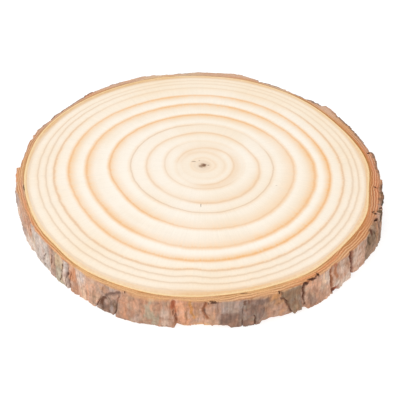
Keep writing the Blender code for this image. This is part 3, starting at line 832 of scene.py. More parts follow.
class FinishDesk(NodeDesk):
    """Lays out the nodes of one finish."""

    def __init__(self, name: str, look: Finish, pith: Vector) -> None:
        """Starts the material and works out where a point is.

        Args:
            name: The material's name.
            look: The finish.
            pith: Where the pith is, in metres.
        """
        self.material = new_material(name)
        super().__init__(self.material.node_tree)
        self.look = look
        self.place = self.node("ShaderNodeTexCoord").outputs["Object"]
        self.from_pith = self.vector("SUBTRACT", self.place, pith)
        self.flat = self.vector("MULTIPLY", self.from_pith, FLAT_MM)
        self.direction = self.vector("NORMALIZE", self.flat)

    def grain(self, fibre: bpy.types.NodeTree, place: Socket) -> tuple[Socket, Socket]:
        """Adds the shared effect of dry fibre at a place, and gives its tone and its height."""
        contrast = self.look.grain_contrast
        scale = self.look.grain_per_metre
        made = self.node(
            "ShaderNodeGroup", {"node_tree": fibre}, Place=place, Marks_per_Metre=scale, Contrast=contrast
        )
        return made.outputs["Tone"], made.outputs["Height"]

    def surface(self, colour: Socket, roughness: Socket, height: Socket) -> bpy.types.Material:
        """Feeds the main shader.

        Args:
            colour: Its base colour.
            roughness: A value from about 0.3 to 0.7 that moves the roughness between the finish's two.
            height: The relief, from 0 to about 1.

        Returns:
            The finished material.
        """
        look = self.look
        shader = self.tree.nodes["Principled BSDF"]
        self.feed(shader.inputs["Base Color"], colour)
        self.feed(shader.inputs["Roughness"], self.remap(roughness, 0.3, 0.7, look.roughness, look.roughest))
        shader.inputs["Specular IOR Level"].default_value = look.specular
        bump = self.node("ShaderNodeBump", Strength=look.relief_strength, Distance=look.relief, Height=height)
        self.feed(shader.inputs["Normal"], bump.outputs[0])
        return self.material


@dataclass(frozen=True)
class WoodFinish(Finish):
    """Sanded, unfinished end grain of a pale softwood."""

    cream: Colour = linear(251, 240, 225)
    warm_cream: Colour = linear(248, 232, 210)
    band: Colour = linear(246, 196, 138)
    line: Colour = linear(234, 166, 104)
    faint_line: Colour = linear(200, 166, 134)
    edge: Colour = linear(234, 189, 136)
    edge_tan: Colour = linear(222, 170, 100)
    edge_tan_towards: tuple[float, float, float] = (-0.77, 0.64, 0.0)
    edge_line: Colour = linear(252, 226, 178)
    pale: Colour = linear(254, 245, 231)
    golden: Colour = linear(249, 226, 190)
    golden_towards: tuple[float, float, float] = (0.34, 0.94, 0.0)
    stain: Colour = linear(240, 205, 168)
    pith: Colour = linear(118, 82, 58)
    pith_rim: Colour = linear(205, 160, 118)
    roughness: float = 0.68
    roughest: float = 0.8
    specular: float = 0.3
    relief: float = 0.00012
    relief_strength: float = 0.5
    rays: float = 70.0  # about how many rays a radian
    ray_change: float = 0.045  # how fast the rays change on their way out
    wobble: float = 1.3
    fraying: float = 0.9  # how far the rays bend the rings' edges
    edge_fraying: float = 9.0  # how far they draw out the tan edge
    line_width: float = 1.1
    full_band: float = 0.5  # how far inside the edge a ring's band keeps its full strength
    band_fade: float = 1.6  # how steeply it fades from there
    past_edge: tuple[float, float] = (0.3, 3.1)  # where it fades outside the edge
    pale_zone: tuple[float, float] = (3.5, 9.0)  # where the pale wood fades outside a ring
    golden_zone: tuple[float, float] = (84.0, 100.0)  # distances over which the wood turns golden
    warm_heart: tuple[float, float] = (5.0, 32.0)  # and over which the warm middle fades
    pith_zone: tuple[float, float] = (0.5, 6.5)  # and the rim of the pith
    bright_edge: tuple[float, float] = (0.3, 1.4)  # where the bright line at the wood's edge fades
    grain_per_metre: float = 900.0
    grain_contrast: float = 0.09


class WoodDesk(FinishDesk):
    """Lays out the nodes of the sawn wood, which read the disc's growth and latewood attributes."""

    def __init__(self, look: WoodFinish, pith: Vector) -> None:
        """Starts the material, and works out the noise that the rings and rays share."""
        super().__init__("sawn_wood", look, pith)
        self.reach = self.length(self.flat)
        along = self.node("ShaderNodeCombineXYZ", Z=self.times(self.reach, look.ray_change)).outputs[0]
        spokes = self.scaled(self.direction, look.rays)
        self.rays = self.noise(self.vector("ADD", spokes, along), 1.0, 3.0, 0.65)
        self.wobble = self.swing(self.noise(self.from_pith, 150.0, 3.0), look.wobble)
        self.read_rings()

    def read_rings(self) -> None:
        """Works out how a point lies among the growth rings, and how much of their bands and lines shows."""
        look = self.look
        latewood = self.attribute("latewood")
        parts = self.node("ShaderNodeSeparateColor", i0=latewood.outputs["Color"])
        self.strength, line_strength, width = parts.outputs
        spacing = self.times(latewood.outputs["Alpha"], CARRIED_MM)
        growth = self.attribute("growth").outputs["Fac"]
        shift = self.math("DIVIDE", self.plus(self.wobble, self.swing(self.rays, look.fraying)), spacing)
        share = self.math("FRACT", self.plus(growth, shift))
        self.inward = self.times(self.minus(1.0, share), spacing)
        self.outward = self.times(share, spacing)
        self.outermost = self.rise(growth, len(RINGS) - 0.02, len(RINGS) + 0.02)
        frayed = self.plus(self.inward, self.times(self.swing(self.rays, look.edge_fraying), self.outermost))
        reached_in = self.math("DIVIDE", self.minus(frayed, look.full_band), self.times(width, CARRIED_MM))
        inner = self.math("POWER", self.minus(1.0, reached_in, clamp=True), look.band_fade)
        patchy = self.remap(self.noise(self.from_pith, 28.0, 2.0), 0.3, 0.7, 0.8, 1.15)
        streaky = self.remap(self.rays, 0.25, 0.75, 0.8, 1.15)
        band = self.math("MAXIMUM", inner, self.fall(self.outward, *look.past_edge))
        self.band = self.times(self.times(band, self.times(patchy, streaky)), self.strength, clamp=True)
        line = self.fall(self.inward, 0.0, look.line_width)
        line = self.math("MAXIMUM", line, self.fall(self.outward, 0.0, look.line_width))
        self.line = self.times(line, self.times(line_strength, streaky))

    def ground(self) -> Socket:
        """Cream wood: pale just outside a ring, golden on two sides, stained here and there, warm inside."""
        look = self.look
        warm = self.rise(self.noise(self.from_pith, 22.0, 3.0), 0.35, 0.7)
        colour = self.mix(warm, look.cream, look.warm_cream)
        spring = self.times(self.fall(self.outward, *look.pale_zone), self.strength)
        colour = self.mix(spring, colour, look.pale)
        side = self.towards(self.direction, look.golden_towards)
        facing = self.plus(self.rise(side, -0.3, 0.9, 0.33), self.rise(side, -0.5, -0.95, 0.25))
        colour = self.mix(self.times(facing, self.rise(self.reach, *look.golden_zone)), colour, look.golden)
        wavy = self.plus(self.reach, self.times(self.wobble, 0.8))
        for stain in STAINS:
            side = self.towards(self.direction, round_pith(stain.towards, 1.0))
            ends = math.cos(math.radians(stain.spread)), math.cos(math.radians(0.4 * stain.spread))
            share = self.times(self.rise(wavy, *stain.rise), self.fall(wavy, *stain.fall))
            colour = self.mix(self.times(self.rise(side, *ends, stain.strength), share), colour, look.stain)
        return self.mix(self.fall(self.reach, *look.warm_heart, 0.6), colour, look.warm_cream)

    def ringed(self, colour: Socket) -> Socket:
        """Lays the rings' bands and lines and the wood's tan edge over a colour."""
        look = self.look
        facing = self.rise(self.towards(self.direction, look.edge_tan_towards), 0.4, 0.97)
        edge = self.mix(facing, look.edge, look.edge_tan)
        colour = self.mix(self.band, colour, self.mix(self.outermost, look.band, edge))
        line_colour = self.mix(self.rise(self.strength, 0.25, 0.6), look.faint_line, look.line)
        colour = self.mix(self.math("MINIMUM", self.line, 0.9), colour, line_colour)
        bright = self.times(self.fall(self.inward, *look.bright_edge, 0.65), self.outermost)
        return self.mix(bright, colour, look.edge_line)

    def pithed(self, colour: Socket) -> Socket:
        """Lays the pith, its rim and the specks near it over a colour."""
        colour = self.mix(self.fall(self.reach, *self.look.pith_zone, 0.55), colour, self.look.pith_rim)
        ragged = self.swing(self.noise(self.from_pith, 900.0, 2.0), 1.8)
        for mark in MARKS:
            away = self.vector("SUBTRACT", self.flat, (mark.x, mark.y, 0.0))
            away = self.vector("DIVIDE", away, (mark.half_length, mark.half_width, 1.0))
            away = self.plus(self.length(away), ragged)
            colour = self.mix(self.fall(away, 0.45, 1.35, mark.strength), colour, self.look.pith)
        return colour

    def finished(self, fibre: bpy.types.NodeTree) -> bpy.types.Material:
        """Lays out the whole material, with the shared group of dry fibre."""
        tone, relief = self.grain(fibre, self.from_pith)
        tone = self.times(tone, self.remap(self.rays, 0.2, 0.8, 0.965, 1.02))
        colour = self.pithed(self.scaled(self.ringed(self.ground()), tone))
        height = self.plus(self.times(relief, 0.5), self.times(self.rays, 0.4))
        return self.surface(colour, relief, self.plus(height, self.times(self.band, 0.35)))


@dataclass(frozen=True)
class BarkFinish(Finish):
    """Dry, scaly bark: weathered outside, rusty and layered where it is sawn."""

    layer_line: Colour = linear(160, 98, 60)
    pale_layer: Colour = linear(242, 202, 156)
    ember: Colour = linear(226, 134, 88)
    mauve: Colour = linear(202, 150, 130)
    cambium: Colour = linear(176, 116, 58)
    cambium_towards: tuple[float, float, float] = (0.93, 0.36, 0.0)
    pale_line: Colour = linear(252, 222, 168)
    roughness: float = 0.86
    roughest: float = 0.96
    specular: float = 0.2
    relief: float = 0.00035
    relief_strength: float = 0.7
    # painted shade inside the pits
    pit: Colour = linear(74, 44, 32)
    pit_heights: tuple[float, float] = (0.0197, 0.0208)  # where the pits' painted shade comes up, in metres
    layer_width: float = 1.5
    thin_layer_width: float = 0.62
    upright_squeeze: float = 0.14  # how much longer the streaks are than wide
    grain_per_metre: float = 1500.0
    grain_contrast: float = 0.28


class BarkDesk(FinishDesk):
    """Lays out the nodes of the bark, which read its colour and sawn colour attributes and the one that holds
    its painted shade, cut and depth.
    """

    def __init__(self, look: BarkFinish, pith: Vector) -> None:
        """Starts the material, and reads how much painted shade a point has, how sawn it is and how far it is
        from the wood.
        """
        super().__init__("bark", look, pith)
        spot = self.node("ShaderNodeSeparateColor", i0=self.attribute("bark_shade_cut_depth").outputs["Color"])
        self.crevice_shade, self.cut, self.layer = spot.outputs

    def pit_shade(self) -> Socket:
        """How much painted shade a point has in the pits, from 0 to 1. Only the upper face has any."""
        nearest = 9.0
        for pit in PITS:
            own = self.node(
                "ShaderNodeMapping",
                {"vector_type": "TEXTURE"},
                Vector=self.flat,
                Location=round_pith(pit.angle, pit.radius),
                Rotation=(0.0, 0.0, math.radians(pit.angle + 90 - pit.turn)),
                Scale=(pit.half_length, pit.half_width, 1.0),
            ).outputs[0]
            nearest = self.math("MINIMUM", nearest, self.length(own))
        ragged = self.swing(self.noise(self.place, 1100.0, 2.0), 1.6)
        near = self.fall(self.plus(nearest, ragged), 0.75, 1.3, 0.9)
        height = self.node("ShaderNodeSeparateXYZ", Vector=self.place).outputs["Z"]
        return self.times(near, self.rise(height, *self.look.pit_heights))

    def layered(self, depth: Socket) -> Socket:
        """Colours the thin layers of the sawn edge.

        Args:
            depth: How far a point is from the wood, in millimetres, with the bends of the layers.

        Returns:
            The colour that the mesh carries, with its hues and its dark and pale lines.
        """
        look, place = self.look, self.place
        phase = self.swing(self.noise(place, 60.0, 2.0), 9.0)
        broad = self.plus(self.times(depth, math.tau / look.layer_width), phase)
        thin = self.plus(self.times(depth, math.tau / look.thin_layer_width), phase)
        lines = self.plus(self.math("SINE", broad), self.times(self.math("SINE", thin), 0.45))
        clear = self.noise(self.vector("ADD", place, (3.0, 1.0, 2.0)), 55.0, 2.0)
        clear = self.remap(clear, 0.38, 0.6, 0.3, 1.0)
        along = self.node("ShaderNodeCombineXYZ", Z=depth).outputs[0]
        stacked = self.vector("ADD", self.scaled(place, 30.0), along)
        hues = self.noise(self.vector("ADD", stacked, (7.0, 3.0, 11.0)), 0.6, 2.0)
        colour = self.attribute("bark_sawn").outputs["Color"]
        colour = self.mix(self.rise(hues, 0.52, 0.66, 0.5), colour, look.ember)
        colour = self.mix(self.rise(hues, 0.46, 0.34, 0.5), colour, look.mauve)
        colour = self.mix(self.times(self.rise(lines, 0.25, 1.2, 0.8), clear), colour, look.layer_line)
        return self.mix(self.times(self.rise(lines, -0.25, -1.2, 0.7), clear), colour, look.pale_layer)

    def sawn_edge(self) -> Socket:
        """The sawn edge: its layers, the dark line near the wood, the pale one at it and the saw's marks."""
        look, place = self.look, self.place
        bend = self.swing(self.noise(place, 120.0, 3.0), 1.6)
        depth = self.plus(self.times(self.layer, CARRIED_MM), bend)
        colour = self.layered(depth)
        dark_line = self.times(self.rise(depth, 0.1, 0.5), self.fall(depth, 0.9, 1.7))
        uneven = self.remap(self.noise(place, 45.0, 2.0), 0.4, 0.6, 0.2, 0.65)
        facing = self.rise(self.towards(self.direction, look.cambium_towards), 0.72, 0.93, 0.9)
        uneven = self.math("MAXIMUM", uneven, facing)
        colour = self.mix(self.times(dark_line, uneven), colour, look.cambium)
        colour = self.mix(self.fall(self.layer, 0.015, 0.05, 0.9), colour, look.pale_line)
        rough_cut = self.remap(self.noise(place, 1400.0, 3.0, 0.6), 0.3, 0.7, 0.88, 1.1)
        return self.scaled(colour, rough_cut)

    def finished(self, fibre: bpy.types.NodeTree) -> bpy.types.Material:
        """Lays out the whole material, with the shared group of dry fibre."""
        upright = self.vector("MULTIPLY", self.place, (1.0, 1.0, self.look.upright_squeeze))
        streaks = self.noise(upright, 900.0, 4.0, 0.65)
        blotches = self.remap(self.noise(self.place, 260.0, 3.0, 0.6), 0.3, 0.7, 0.88, 1.1)
        tone = self.times(self.remap(streaks, 0.25, 0.75, 0.8, 1.15), blotches)
        outside = self.scaled(self.attribute("bark_colour").outputs["Color"], tone)
        colour = self.mix(self.cut, outside, self.sawn_edge())
        # Painted shade in the fissures, cracks and pits.
        colour = self.mix(self.crevice_shade, colour, Tone.CREVICE_SHADE.value)
        colour = self.mix(self.pit_shade(), colour, self.look.pit)
        tone, relief = self.grain(fibre, upright)
        height = self.plus(self.times(streaks, 0.7), self.times(relief, 0.6))
        return self.surface(self.scaled(colour, tone), streaks, height)


def finish_piece(
    mesh: bmesh.types.BMesh, name: str, material: bpy.types.Material, sharp: float
) -> bpy.types.Object:
    """Turns a finished bmesh into a piece that rides with the slice and stands for its solid.

    Args:
        mesh: The shape, in metres and in the shared frame.
        name: The piece's name, which is also its material slot.
        material: Its finish.
        sharp: Angle in degrees past which an edge looks sharp.

    Returns:
        The new object.
    """
    data = bpy.data.meshes.new(name)
    mesh.to_mesh(data)
    mesh.free()
    data.shade_smooth()
    data.set_sharp_from_angle(angle=math.radians(sharp))
    data.materials.append(material)
    piece = bpy.data.objects.new(name, data)
    bpy.context.scene.collection.objects.link(piece)
    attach(piece, "root")
    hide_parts("wood_slice")
    log.info("%s: %d faces", name, len(data.polygons))
    return piece


@dataclass
class WoodDisc:
    """The disc of wood: both sawn faces with their growth rings, and the hidden wall between them."""

    form: SliceForm
    centre: Vector  # the pith's place in the shared frame, in metres
    columns: int = 540
    rows_per_ring: int = 3
    pinch_angle: float = 266.5  # where the outer rings dip inwards, and half of the turn that they do so over
    pinch_half: float = 5.0
    pinch_depth: float = 1.5
    pinch_from: float = 92.0  # distances from the pith over which the dip grows
    pinch_full: float = 98.0
    last_pinch: float = 0.3  # how much of the pinch the last ring takes
    edge_ring: GrowthRing = GrowthRing((0.0,), 0.9, 0.0, 8.0)
    faint_rings_widen: float = 1.2  # how much wider a band is where it almost fades out
    wide_edge: float = 3.5  # how much wider the tan edge is at one side
    wide_edge_at: float = 138.0
    wide_edge_half: float = 45.0
    upper_map: tuple[float, float, float] = (0.375, 0.625, 0.00295)  # middle on the map, map width of 1 mm
    lower_map: tuple[float, float, float] = (0.785, 0.215, 0.00168)
    wall_map: tuple[float, float, float] = (0.02, 0.4, 0.02)  # corner on the map, map sizes of the wall
    sharp: float = 30.0  # angle past which an edge looks sharp
    curves: list[LoopCurve] = field(default_factory=list)

    def ring_radii(self, angle: float) -> list[float]:
        """Radii of all rings at an angle, from the pith out to the edge of the wood."""
        away = turn_between(angle, self.pinch_angle) / self.pinch_half
        pinch = self.pinch_depth * math.exp(-away * away)
        radii = [0.0]
        for ring, curve in zip(RINGS, self.curves):
            radius = curve.at(angle)
            reached = smooth_step((radius - self.pinch_from) / (self.pinch_full - self.pinch_from))
            radii.append(radius - pinch * reached * (1 if ring is not RINGS[-1] else self.last_pinch))
        radii.append(self.form.wood_radius(angle))
        return radii

    def build(self) -> bmesh.types.BMesh:
        """Shapes the disc and writes where each ring runs.

        Returns:
            The disc in metres, with its growth and latewood attributes and its own UV map.
        """
        all_rings = RINGS + (self.edge_ring,)
        self.curves = [ring.curve() for ring in RINGS]
        face_rows = len(all_rings) * self.rows_per_ring
        mesh, grid = rolled_grid(self.columns, 2 * face_rows + 1)
        growth = mesh.verts.layers.float.new("growth")
        latewood = mesh.verts.layers.float_color.new("latewood")
        angles = [FULL_TURN * i / self.columns for i in range(self.columns + 1)]
        radii = [self.ring_radii(angle) for angle in angles]
        for vertex, (column, place_row) in zip(mesh.verts, grid):
            upper = place_row > face_rows
            row = 2 * face_rows + 1 - place_row if upper else place_row
            number, part = divmod(row, self.rows_per_ring)
            if number == len(all_rings):
                number, part = number - 1, self.rows_per_ring
            share = part / self.rows_per_ring
            radius = radii[column][number] * (1 - share) + radii[column][number + 1] * share
            ring = all_rings[number - 1] if part == 0 and number else all_rings[number]
            space = max(radii[column][number + 1] - radii[column][number], 1.0)
            strength = ring.strength(angles[column])
            width = ring.width * (1 + self.faint_rings_widen * (1 - strength))
            if ring is self.edge_ring:
                away = turn_between(angles[column], self.wide_edge_at) / self.wide_edge_half
                width += self.wide_edge * math.exp(-(away**2))
            vertex[growth] = row / self.rows_per_ring
            band, line = ring.band * strength, ring.line * strength
            vertex[latewood] = (band, line, width / CARRIED_MM, space / CARRIED_MM)
            height = THICKNESS if upper else 0.0
            vertex.co = self.centre + round_pith(angles[column], radius, height) * MM
        self.unwrap(mesh, grid, face_rows)
        close_seams(mesh)
        return mesh

    def unwrap(self, mesh: bmesh.types.BMesh, grid: list[tuple[int, int]], face_rows: int) -> None:
        """Lays the upper face large and the lower face small on the map, with the hidden wall in a corner.

        Args:
            mesh: The shaped disc, before its seams are closed.
            grid: Column and row of every point.
            face_rows: How many rows each sawn face has.
        """
        layer = mesh.loops.layers.uv.new("OFBake")
        for face in mesh.faces:
            rows = [grid[loop.vert.index][1] for loop in face.loops]
            wall = min(rows) == face_rows
            middle_x, middle_y, scale = self.upper_map if min(rows) > face_rows else self.lower_map
            for loop, row in zip(face.loops, rows):
                place = (loop.vert.co - self.centre) / MM
                if wall:
                    turn = grid[loop.vert.index][0] / self.columns
                    corner, long, high = self.wall_map
                    loop[layer].uv = (corner + long * turn, corner + high * (row - face_rows))
                else:
                    loop[layer].uv = (middle_x + place.x * scale, middle_y + place.y * scale)

    def dress(self, fibre: bpy.types.NodeTree) -> bpy.types.Object:
        """Builds the disc and gives it its finish."""
        material = WoodDesk(WoodFinish(), self.centre).finished(fibre)
        return finish_piece(self.build(), "sawn_wood", material, self.sharp)


@dataclass
class BarkSpot:
    """One point of the bark, as the mesh carries it."""

    angle: float
    radius: float
    height: float
    crevice_shade: float  # how much painted shade it has in a fissure, crack or pit, from 0 to 1
    cut: float  # how much it looks sawn, from 0 to 1
    layer: float  # how far it is from the wood
    colour: Colour  # its weathered colour
    sawn: Colour  # the colour of the sawn edge there


@dataclass
class FacePoint:
    """A point of a plate's weathered face, before its fissures and cracks."""

    number: int  # the plate's number
    across: float  # share of the way across the plate
    angle: float
    radius: float
    place: Vector
    near_edge: float = 0.0  # how near it is to a scale's broken edge, from 0 to 1
    streak: float = 0.0  # the relief of its fibres


@dataclass
class BarkRing:
    """The ring of bark round the wood: plates, fissures and flakes outside, sawn layers above and below."""

    form: SliceForm
    centre: Vector  # the pith's place in the shared frame, in metres
    column_spacing: float = 0.5  # about how far apart its columns of points are
    underside_rows: int = 4
    side_rows: int = 46
    top_rows: int = 9
    tucked_in: float = 0.5  # how far its sawn edges reach in past the wood's edge
    below_wood: float = 0.06  # how far they lie below the wood's faces
    flake_height: float = 0.36  # how thick its scales are
    blend_reach: float = 2.4  # how far the colours of two plates run into each other
    blend_depth: float = 0.9  # a fissure this deep keeps them apart
    inner_layer: float = 1.2  # how far from the wood its inner layers end
    layer_blend: float = 3.0  # and over what distance the outer ones take over
    flake_size: tuple[float, float] = (9.0, 17.0)  # across and upwards
    flake_levels: float = 2.4  # about how many scales lie over each other
    flake_edge: float = 0.8  # share of a level at which the next scale begins
    crack_drift: tuple[float, float] = (1.2, 4.0)  # how far a crack strays upwards, and over what distance
    crack_bend: tuple[float, float] = (0.55, 4.6)  # and round the slice, in degrees
    crack_shake: tuple[float, float] = (0.16, 1.3)
    rim_radius: float = 120.0  # about the radius of the bark, for the chips of its rim
    rim_break: float = 0.15  # how far the rim is broken down everywhere
    rim_chips: tuple[tuple[float, float], ...] = ((1.0, 9.0), (0.4, 2.6))  # depth and size of its chips
    groove_jitter: tuple[float, float] = (0.5, 2.4)  # how far a fissure's lips stray, and over what distance
    groove_change: tuple[float, float] = (0.6, 3.1)  # how much its width changes, and over what distance
    widest_groove: float = 1.2
    deep_groove: float = 2.4  # a fissure this deep gets its full painted shade
    shade_at_rim: float = 0.25  # share of its painted shade that a fissure has at the upper edge
    # strength of the fissures' painted shade
    crevice_shade_darkness: float = 0.85
    crevice_fade: float = 2.6  # how steeply the painted shade fades towards the fissure's lips
    streak_relief: float = 0.20
    fine_relief: float = 0.10
    warmth: tuple[float, float, float] = (1.01, 0.965, 0.92)
    worn_depth: float = 0.10  # about how far the sawn edge is worn down
    turns_down: tuple[float, float] = (0.72, 0.28)  # from what share of its width it turns down, and the rest
    # painted shade in the pits
    pit_shade_darkness: float = 0.95
    weathered: tuple[float, float] = (0.86, 0.14)  # from what share on it looks weathered, and the rest
    weathered_look: tuple[float, float] = (0.5, 0.45)  # how much it does, and how much more at a worn rim
    widest_lap: float = 0.2  # how much further in it does so at a worn rim
    fresh_reach: float = 0.9  # about how far down the outside looks freshly sawn
    fresh_look: float = 0.6  # and how much
    sharp: float = 50.0  # angle past which an edge looks sharp
    strips: int = 4  # how many strips the ring makes on its map
    unseen_cracks: int = 46  # cracks drawn by chance
    unseen_from: float = -22.0  # the angles between which they lie
    unseen_to: float = 196.0
    nearby: dict[int, list[Crack]] = field(default_factory=dict)
    patches: dict[int, list[Patch]] = field(default_factory=dict)

    def chance_cracks(self) -> list[Crack]:
        """Draws cracks for the side that faces away."""
        draw = random.Random(11)
        cracks = []
        for _ in range(self.unseen_cracks):
            angle = draw.uniform(self.unseen_from, self.unseen_to)
            below = draw.uniform(0.0, 14.0)
            points = ((angle, below), (angle + draw.uniform(-0.8, 0.8), below + draw.uniform(4.0, 14.0)))
            width = draw.uniform(0.6, 1.5)
            stain = draw.choice((Tone.RUST, Tone.UMBER, Tone.COCOA, Tone.CLAY))
            cracks.append(Crack(points, width, width * draw.uniform(0.5, 0.8), stain, draw.uniform(0.2, 0.7)))
        return cracks

    def __post_init__(self) -> None:
        """Lists the columns and the rows of the ring, and the cracks and patches near each whole degree."""
        for crack in CRACKS + tuple(self.chance_cracks()):
            angles = [angle for angle, _ in crack.points]
            for degree in range(math.floor(min(angles)) - 2, math.ceil(max(angles)) + 3):
                self.nearby.setdefault(degree % 360, []).append(crack)
        for patch in PATCHES:
            reach = math.ceil(math.degrees(patch.half_width / PLATES[0].first_rim)) + 1
            for degree in range(math.floor(patch.angle) - reach, math.floor(patch.angle) + reach + 1):
                self.patches.setdefault(degree % 360, []).append(patch)
        self.places: list[tuple[int, float]] = []
        for number in range(len(PLATES)):
            count = max(4, round(self.form.plate_width(number) / self.column_spacing))
            self.places += [(number, i / count) for i in range(count)]
        self.rows: list[tuple[str, float]] = []
        self.rows += [("under", i / self.underside_rows) for i in range(self.underside_rows)]
        self.rows += [("side", i / self.side_rows) for i in range(self.side_rows + 1)]
        self.rows += [("top", 1 - i / self.top_rows) for i in range(1, self.top_rows + 1)]

    def flakes(self, place: Vector) -> tuple[float, float]:
        """Thin scales that lie over each other.

        Args:
            place: A point of the bark's face.

        Returns:
            The height that the scales add, and how near the point is to a scale's broken edge.
        """
        across, up = self.flake_size
        turned = Vector((place.x / across, place.y / across, place.z / up))
        level = self.flake_levels * noise.fractal(turned, 0.8, 2.1, 4, noise_basis="PERLIN_ORIGINAL")
        step = math.floor(level)
        past = level - step - self.flake_edge
        near_edge = 1 - min(1.0, abs(past) / 0.2)
        return (step + smooth_step(past / 0.2)) * self.flake_height, near_edge

    def crack(self, at: FacePoint) -> tuple[float, Crack | None]:
        """Looks for a crack at a point of the bark's face.

        Args:
            at: The point.

        Returns:
            How near the nearest crack is, from 0 to 1, and the crack.
        """
        found = (0.0, None)
        (drift, drift_size), (bend, bend_size), (shake, shake_size) = (
            self.crack_drift, self.crack_bend, self.crack_shake,
        )
        below = THICKNESS - at.place.z + drift * noise.noise(at.place / drift_size)
        bent = at.angle + bend * noise.noise(at.place / bend_size + Vector((5.0, 1.0, 7.0)))
        bent += shake * noise.noise(at.place / shake_size)
        for crack in self.nearby.get(math.floor(at.angle) % 360, ()):
            turned = crack.points[0][0] + turn_between(bent, crack.points[0][0])
            near = crack.nearness(turned, below, at.radius)
            if near > found[0]:
                found = (near, crack)
        return found

    def grooves(self, at: FacePoint) -> list[tuple[int, float]]:
        """How far a point lies in the two fissures beside its plate.

        Args:
            at: The point.

        Returns:
            For both fissures the number of their plate, and a share from 0 outside to 1 on the floor.
        """
        width = self.form.plate_width(at.number)
        jitter = self.groove_jitter[0] * noise.noise(at.place / self.groove_jitter[1])
        ragged = 1 + self.groove_change[0] * noise.noise(at.place / self.groove_change[1])
        sides = (at.number, at.across * width, jitter), (at.number + 1, (1 - at.across) * width, -jitter)
        found = []
        for plate, away, shift in sides:
            depth = PLATES[plate % len(PLATES)].depth
            half = self.form.half_fissure * min(self.widest_groove, 0.3 + 0.4 * depth) * ragged
            found.append((plate, 1 - smooth_step((away + shift * min(1.0, away)) / half)))
        return found

    def side_spot(self, number: int, across: float, share: float) -> BarkSpot:
        """Finds a point on the outside of the bark.

        Args:
            number: The plate's number.
            across: Share of the way across the plate.
            share: Share of the way from the lower to the upper edge.

        Returns:
            The point with its colour.
        """
        form = self.form
        guess = form.angle_across(number, across, 0)
        rough = noise.noise(Vector((guess * 0.9, 3.3, 0.5)))
        lowest = max(self.below_wood, form.chip_height(guess) + 0.5 * max(0.0, rough))
        highest = THICKNESS - self.rim_chip(guess)
        height = lowest + (highest - lowest) * share
        angle = form.angle_across(number, across, height)
        face = form.plate_face(number, across, height, angle)
        at = FacePoint(number, across, angle, face, round_pith(angle, face, height))
        flake, at.near_edge = self.flakes(at.place)
        at.streak = upright_noise(at.place, 1.1, 11.0)
        near_crack, crack = self.crack(at)
        radius = face + flake + self.streak_relief * at.streak
        radius += self.fine_relief * noise.noise(at.place / 1.5)
        radius -= crack.depth * smooth_step(1.3 * near_crack) if crack else 0.0
        # How deep in a fissure the point lies, for the painted shade there.
        groove_shade = 0.0
        for plate, share_in in self.grooves(at):
            radius = radius * (1 - share_in) + form.fissure_floor(plate, height) * share_in
            groove_shade = max(groove_shade, share_in * min(1.0, PLATES[plate % len(PLATES)].depth / self.deep_groove))
        radius = max(radius, form.wood_radius(angle) + form.skin)
        opening = smooth_step((THICKNESS - height) / form.fissure_starts_below_rim)
        # Painted shade in the fissures, less near the upper edge.
        crevice_shade = self.crevice_shade_darkness * groove_shade**self.crevice_fade
        crevice_shade *= self.shade_at_rim + (1 - self.shade_at_rim) * opening
        colour = self.patched(self.plates_colour(at), at)
        colour = tuple(part * warmth for part, warmth in zip(colour, self.warmth))
        # A crack's floor gets painted shade, and its walls the crack's stain.
        if crack:
            crevice_shade = max(crevice_shade, crack.floor_shade * smooth_step(2.0 * near_crack - 0.6))
            colour = blend_colours(colour, crack.stain.value, 0.8 * smooth_step(1.5 * near_crack))
        layer = radius - form.wood_radius(angle)
        return BarkSpot(angle, radius, height, crevice_shade, 0.0, layer, colour, self.sawn_colour(angle, layer))

    def patched(self, colour: Colour, at: FacePoint) -> Colour:
        """Lays the patches over the colour of a point of the bark's face."""
        ragged = 0.7 * upright_noise(at.place, 1.3, 7.0, (2.0, 9.0, 4.0))
        ragged += 0.5 * noise.noise(at.place / 3.0)
        light = sum(colour[:3]) / 3
        for patch in self.patches.get(math.floor(at.angle) % 360, ()):
            across = math.radians(turn_between(at.angle, patch.angle)) * at.radius / patch.half_width
            down = (THICKNESS - at.place.z - patch.below) / patch.half_height
            share = patch.share * smooth_step(1.6 * (1 - math.hypot(across, down) + ragged))
            if share > 0:
                tone = [part * (0.6 + light) for part in patch.tone.value[:3]]
                colour = blend_colours(colour, tone, share)
        return colour

    def plates_colour(self, at: FacePoint) -> Colour:
        """Colour of a point on a plate. It runs into its neighbour's across a shallow fissure."""
        colour = self.face_colour(at.number, at)
        ragged = 1.6 * upright_noise(at.place, 3.0, 5.0)
        width = self.form.plate_width(at.number)
        before = at.number - 1, at.number, at.across * width
        after = at.number + 1, at.number + 1, (1 - at.across) * width
        for other, own, away in (before, after):
            depth = PLATES[own % len(PLATES)].depth
            reach = self.blend_reach * smooth_step((self.blend_depth - depth) / 0.5)
            share = 0.5 * (1 - smooth_step((away + ragged) / reach)) if reach > 0.2 else 0.0
            if share > 0.01:
                colour = blend_colours(colour, self.face_colour(other % len(PLATES), at), share)
        return colour

